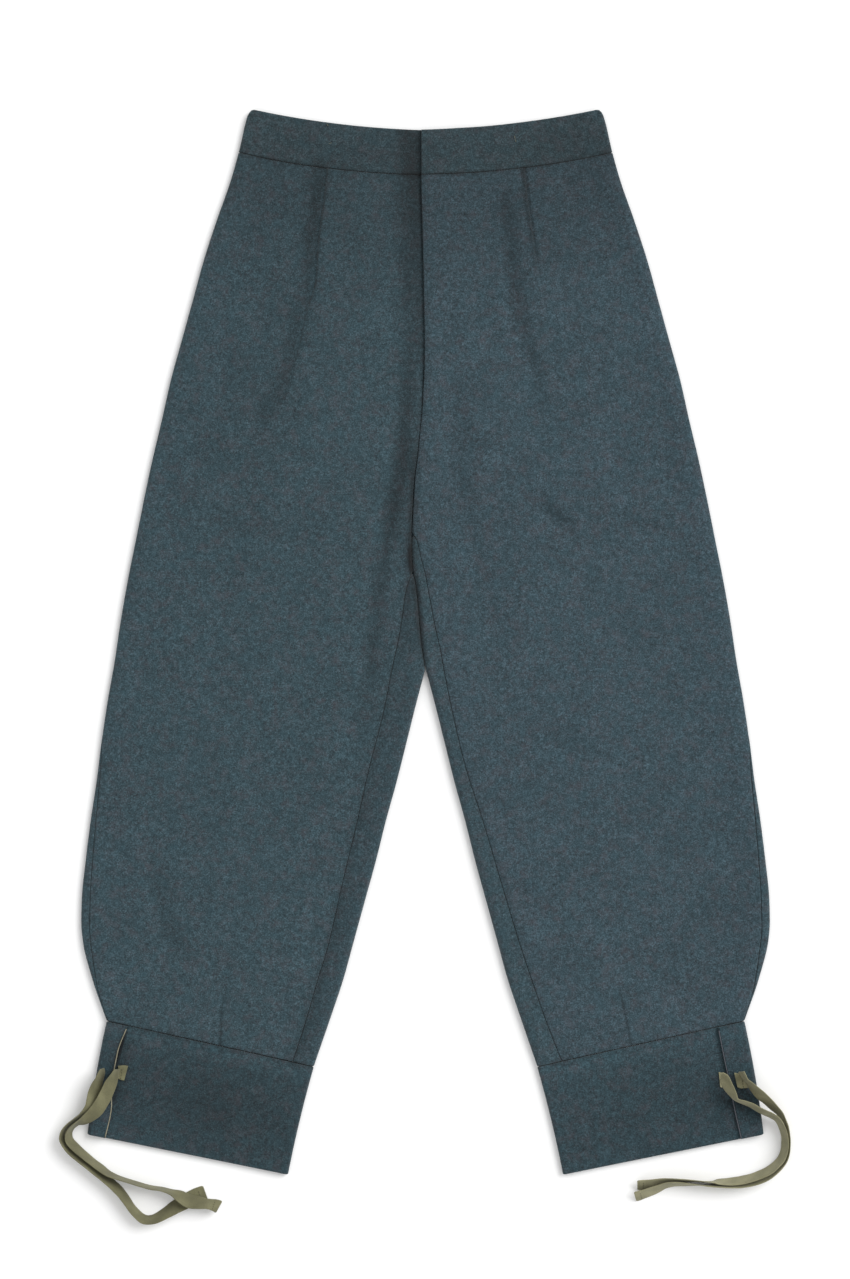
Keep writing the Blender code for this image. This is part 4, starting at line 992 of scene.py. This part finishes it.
# The same melton on both fronts, with the wearer's left front painted a little lighter, as painted light
FRONT_TONES = {-1: ("#121C22", "#2B3C42", "#495F69"), 1: ("#141E22", "#2E3E45", "#4C616C")}
for side, node in ((-1, "front_right"), (1, "front_left")):
    wool = melton("melton_wool_" + node, *FRONT_TONES[side])
    front = front_piece(side, "wool_" + node, wool)
    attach(front, "root")
    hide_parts(node)


# Waistband
# Doubled melton, folded over at its top edge and cut on a curve. Its left end laps over the right.
DOUBLED_CLOTH = 2.6
BAND_HEIGHT = 6.0
BAND_TOP_DIP = 4.1
BAND_CENTRE_HEIGHT = {-1: 5.5, 1: 8.9}
CORNER_RADIUS = 7.0
DOUBLED_UNEVEN = 0.8


def band_height(side):
    """Height function of the waistband on one side."""
    def height(x, y, out, inward, seams):
        strip = 33.0 if side > 0 else 2.0
        base = settle(EDGE_HEIGHT, BAND_HEIGHT, BAND_CENTRE_HEIGHT[side], out, inward, strip)
        clear = smoothstep(out / EDGE_CLEAR) * smoothstep(inward / CENTRE_CLEAR)
        return base + clear * DOUBLED_UNEVEN * unevenness(x, y)
    return height


def band_levels(side):
    """Levels of the waistband, close together at its top edge and at the waist seam."""
    depth = BAND_TOP - WAIST_SEAM - HALF_GAP
    near = SEAM_COLUMNS[:8]
    down = np.concatenate((near, spread(7.5, depth - 7.5, 8), (depth - near)[::-1]))
    made = []
    for d in down:
        t = d / depth
        made.append((d, Level(side, BAND_TOP - d, dip=BAND_TOP_DIP + (WAIST_DIP - BAND_TOP_DIP) * t)))
    return made


def rounded(parts, level, depth):
    """Lower a row's points towards the side, for the round corner of the band's top edge."""
    lowered = []
    for points, inward in parts:
        out = np.hypot(points[:, 0] - level.outer[0], points[:, 1] - level.outer[1])
        share = np.clip(1 - out / CORNER_RADIUS, 0, 1)
        amount = np.minimum(CORNER_RADIUS * (1 - np.sqrt(1 - share ** 2)), 5.5) * np.exp(-depth / 8)
        moved = points.copy()
        moved[:, 1] -= amount
        lowered.append((moved, inward))
    return lowered


def band_front(side, name, material):
    """Front half of the waistband, from the side seam to the centre."""
    height = band_height(side)
    cloth = Cloth()
    above = None
    for depth, level in band_levels(side):
        parts = front_row(level, height)
        if side < 0:
            parts.append(underlap_row(level, parts[-1][0][-1, 2]))
        row = cloth.row(*rounded(parts, level, depth))
        if above is not None:
            cloth.join(above, row)
        above = row
    return cloth.wall(name, DOUBLED_CLOTH, material, side > 0, extra_painted_shade=FLY_PAINTED_SHADE if side < 0 else ())


def band_back(name, material):
    """Back waistband: one flat piece, turned up at both sides."""
    cloth = Cloth()
    above = None
    height = band_height(-1)
    for (depth, right), (_, left) in zip(band_levels(-1), band_levels(1)):
        parts = []
        for level in (right, left):
            arcs = -HALF_GAP - np.concatenate((SEAM_COLUMNS[:6], (4.2, QUARTER - HALF_GAP)))
            under = spread(FOLD_RADIUS, level.length(level.under_centre), 30)
            parts.append(rounded([level.edge(arcs, height), level.table(under)], level, depth))
        middle = right.table(np.array([right.length(right.under_centre)]))
        other = [(p[::-1], d[::-1]) for p, d in parts[1][::-1]]
        row = cloth.row(*parts[0], middle, *other)
        if above is not None:
            cloth.join(above, row)
        above = row
    return cloth.wall(name, DOUBLED_CLOTH, material, reverse=True)


# Pale fibres of lint that cling to the band: (start, end) of each
LINT = {
    "waistband_front_right": (((-97.2, 516.2, 6.4), (-99.8, 520.0, 6.4)),
                              ((-97.0, 498.6, 6.4), (-93.6, 499.6, 6.4))),
    "waistband_front_left": (((89.0, 506.8, 6.4), (89.6, 503.0, 6.4)),
                             ((89.4, 503.4, 6.4), (90.8, 500.0, 6.4))),
}
lint = cotton_thread("cotton_lint", "#6C6A58", "#8A8772")
# The same melton as the legs, painted a little darker on the waistband, as painted shade
wool_band = melton("melton_wool_waistband", "#121B20", "#2A3A3F", "#495D65")
bands = {
    "waistband_front_right": band_front(-1, "wool_waistband_front_right", wool_band),
    "waistband_front_left": band_front(1, "wool_waistband_front_left", wool_band),
    "waistband_back": band_back("wool_waistband_back", wool_band),
}
for node, band in bands.items():
    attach(band, "root")
    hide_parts(node)
    if node in LINT:
        up = (0, 0, 1)
        fibres = stitches("lint_" + node, [(start, end, up) for start, end in LINT[node]], lint,
                          length=3.4, gap=3.4, radius=0.16)
        fibres.parent = band


# Cuffs
# One band of doubled melton round each ankle, open at the outer side. Its back end laps over the front.
CUFF_FOLD_RADIUS = 4.2
CUFF_OUTER = ((319.0, -378.7), (338.3, -492.0), 1.5)
CUFF_INNER = ((111.8, -424.6), (137.6, -532.4), 1.2)
CUFF_DEPTH = 112.0

# Width of the lap down the slit: (share of the cuff's depth, width)
CUFF_LAP = {
    -1: ((0, 21.5), (0.25, 17), (0.5, 17), (0.75, 20.5), (1, 18)),
    1: ((0, 27), (0.25, 27.3), (0.5, 27), (0.75, 25.5), (1, 22.8)),
}
CUFF_UNDERLAP_END = 6.5
CUFF_LAPPED_HEIGHT = 5.5
CUFF_MARGIN = 9.0


def along(edge, t):
    """Point on a cuff's edge, with its bulge."""
    (x0, y0), (x1, y1), bulge = edge
    return x0 + (x1 - x0) * t + bulge * 4 * t * (1 - t), y0 + (y1 - y0) * t


def cuff_line(t):
    """Outer end, direction across and width of a line across the cuff at a share of its depth."""
    outer, inner = np.array(along(CUFF_OUTER, t)), np.array(along(CUFF_INNER, t))
    width = math.dist(outer, inner)
    return outer, (inner - outer) / width, width


def cuff_section(width, lap):
    """The cuff's section as (distance from the outer edge, height, part sideways, part upwards) rows."""
    top = 2 * CUFF_FOLD_RADIUS
    rows = [(lap - d, top, 0, -1) for d in SEAM_COLUMNS[:6]]
    rows += [(d, top, 0, -1) for d in np.linspace(lap - 5, CUFF_FOLD_RADIUS + 1, 6)]
    for angle in np.linspace(math.pi / 2, -math.pi / 2, 13):
        rows.append((CUFF_FOLD_RADIUS * (1 - math.cos(angle)), CUFF_FOLD_RADIUS * (1 + math.sin(angle)),
                     math.cos(angle), -math.sin(angle)))
    rows += [(d, 0, 0, 1) for d in spread(CUFF_FOLD_RADIUS, width - FOLD_RADIUS, 40)]
    for angle in np.linspace(-math.pi / 2, math.pi / 2, 13):
        rows.append((width - FOLD_RADIUS * (1 - math.cos(angle)), FOLD_RADIUS * (1 + math.sin(angle)),
                     -math.cos(angle), -math.sin(angle)))
    heights = ((FOLD_RADIUS, 7.0), (20, 6.8), (45, 6.3), (85, 6.0), (width - lap - 45, 6.0),
               (width - lap - 24, 5.9), (width - lap - CUFF_MARGIN, CUFF_LAPPED_HEIGHT),
               (width - CUFF_UNDERLAP_END, CUFF_LAPPED_HEIGHT))
    back = np.concatenate((
        spread(FOLD_RADIUS, width - lap - 10, 44), spread(width - lap - 10, width - lap, 6),
        np.linspace(width - lap, width - CUFF_UNDERLAP_END, 8)))
    rows += [(width - b, float(read(heights, b)), 0, -1) for b in back]
    return np.array(rows)


def cuff_piece(side, name, material):
    """Cuff: a C-shaped band, seen from its end, with the back end over the front end."""
    cloth = Cloth()
    above = None
    near = SEAM_COLUMNS[:7]
    down = np.concatenate((near, spread(5, CUFF_DEPTH - 5, 30), (CUFF_DEPTH - near)[::-1]))
    for t in down / CUFF_DEPTH:
        outer, across, width = cuff_line(t)
        distance, z, sideways, upwards = cuff_section(width, float(read(CUFF_LAP[side], t))).T
        x = outer[0] + across[0] * distance
        y = outer[1] + across[1] * distance - HALF_GAP * (1 - t)
        on_top = (z > 5.3) & (np.abs(sideways) < 0.01)
        uneven = DOUBLED_UNEVEN * unevenness(side * x, y)
        z = z + np.where(on_top, uneven * smoothstep(distance / EDGE_CLEAR), 0)
        points = np.stack((side * x, y, z), 1)
        inward = np.stack((side * across[0] * sideways, across[1] * sideways, upwards), 1)
        row = cloth.row((points, inward))
        if above is not None:
            cloth.join(above, row)
        above = row
    return cloth.wall(name, DOUBLED_CLOTH, material, reverse=side < 0)


# The same melton as the legs, painted darker on the cuffs, as painted shade
CUFF_TONES = {-1: ("#0E181C", "#24343A", "#3D535A"), 1: ("#0E181D", "#26363C", "#3F565F")}
BINDING_HALF_WIDTH = 0.58
BINDING_HALF_HEIGHT = 1.05
BINDING_LEVEL = 7.5
# Dark and light shades of each cuff's binding; the wearer's left binding is painted dark grey, as painted
# shade on an edge that faces away from the light
BINDINGS = {-1: ("#6E6A58", "#8C8774"), 1: ("#3F4249", "#50535A")}


def cuff_binding(side, name, material):
    """The narrow binding over the raw edge of a cuff's lap: a thin oval cord down the slit."""
    turn = np.linspace(0, 2 * math.pi, 8, endpoint=False)
    points, faces = [], []
    steps = 45
    for k in range(steps):
        t = 0.03 + 0.965 * k / (steps - 1)
        outer, across, _ = cuff_line(t)
        x, y = outer + across * (float(read(CUFF_LAP[side], t)) + 0.1 + 0.15 * math.sin(9 * t))
        for a in turn:
            points.append((side * (x + BINDING_HALF_WIDTH * math.cos(a)), y,
                           BINDING_LEVEL + BINDING_HALF_HEIGHT * math.sin(a)))
    for k in range(steps - 1):
        for j in range(8):
            a, b = k * 8 + j, k * 8 + (j + 1) % 8
            faces.append((a, b, b + 8, a + 8)[::side])
    faces += [tuple(range(8))[::-side], tuple((steps - 1) * 8 + j for j in range(8))[::side]]
    return mesh_object(name, points, faces, material)


for side, node in ((-1, "cuff_right"), (1, "cuff_left")):
    wool = melton("melton_wool_" + node, *CUFF_TONES[side])
    cuff = cuff_piece(side, "wool_" + node, wool)
    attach(cuff, "root")
    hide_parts(node)
    bound = cotton_thread("cotton_binding_" + node, *BINDINGS[side])
    binding = cuff_binding(side, "binding_" + node, bound)
    binding.parent = cuff


# Table and light
# A plain white table, one broad light from the viewer's right and a soft light from all round.
TABLE_SIZE = 60.0
TABLE_LEVEL = -0.05
LIGHT_TURN = 35.0
LIGHT_FALL = 52.0
LIGHT_SPREAD = 40.0
LIGHT_STRENGTH = 2.3
ROOM_STRENGTH = 0.82

bpy.ops.object.select_all(action="DESELECT")
bpy.ops.mesh.primitive_plane_add(size=TABLE_SIZE, location=(0, 0, TABLE_LEVEL * MM))
table = bpy.context.object
table.name = "table"
paper, tree, shader = new_material("white_paper")
shader.inputs["Base Color"].default_value = linear("#F4F4F4")
shader.inputs["Roughness"].default_value = 0.9
table.data.materials.append(paper)

sun_data = bpy.data.lights.new("window", "SUN")
sun_data.energy = LIGHT_STRENGTH
sun_data.angle = math.radians(LIGHT_SPREAD)
sun = bpy.data.objects.new("window", sun_data)
sun.rotation_euler = (0, math.radians(LIGHT_FALL), math.radians(LIGHT_TURN))
bpy.context.scene.collection.objects.link(sun)

world = bpy.data.worlds.new("room")
world.use_nodes = True
world.node_tree.nodes["Background"].inputs["Color"].default_value = (1.0, 1.0, 1.0, 1.0)
world.node_tree.nodes["Background"].inputs["Strength"].default_value = ROOM_STRENGTH
bpy.context.scene.world = world
bpy.context.scene.view_settings.view_transform = "Standard"
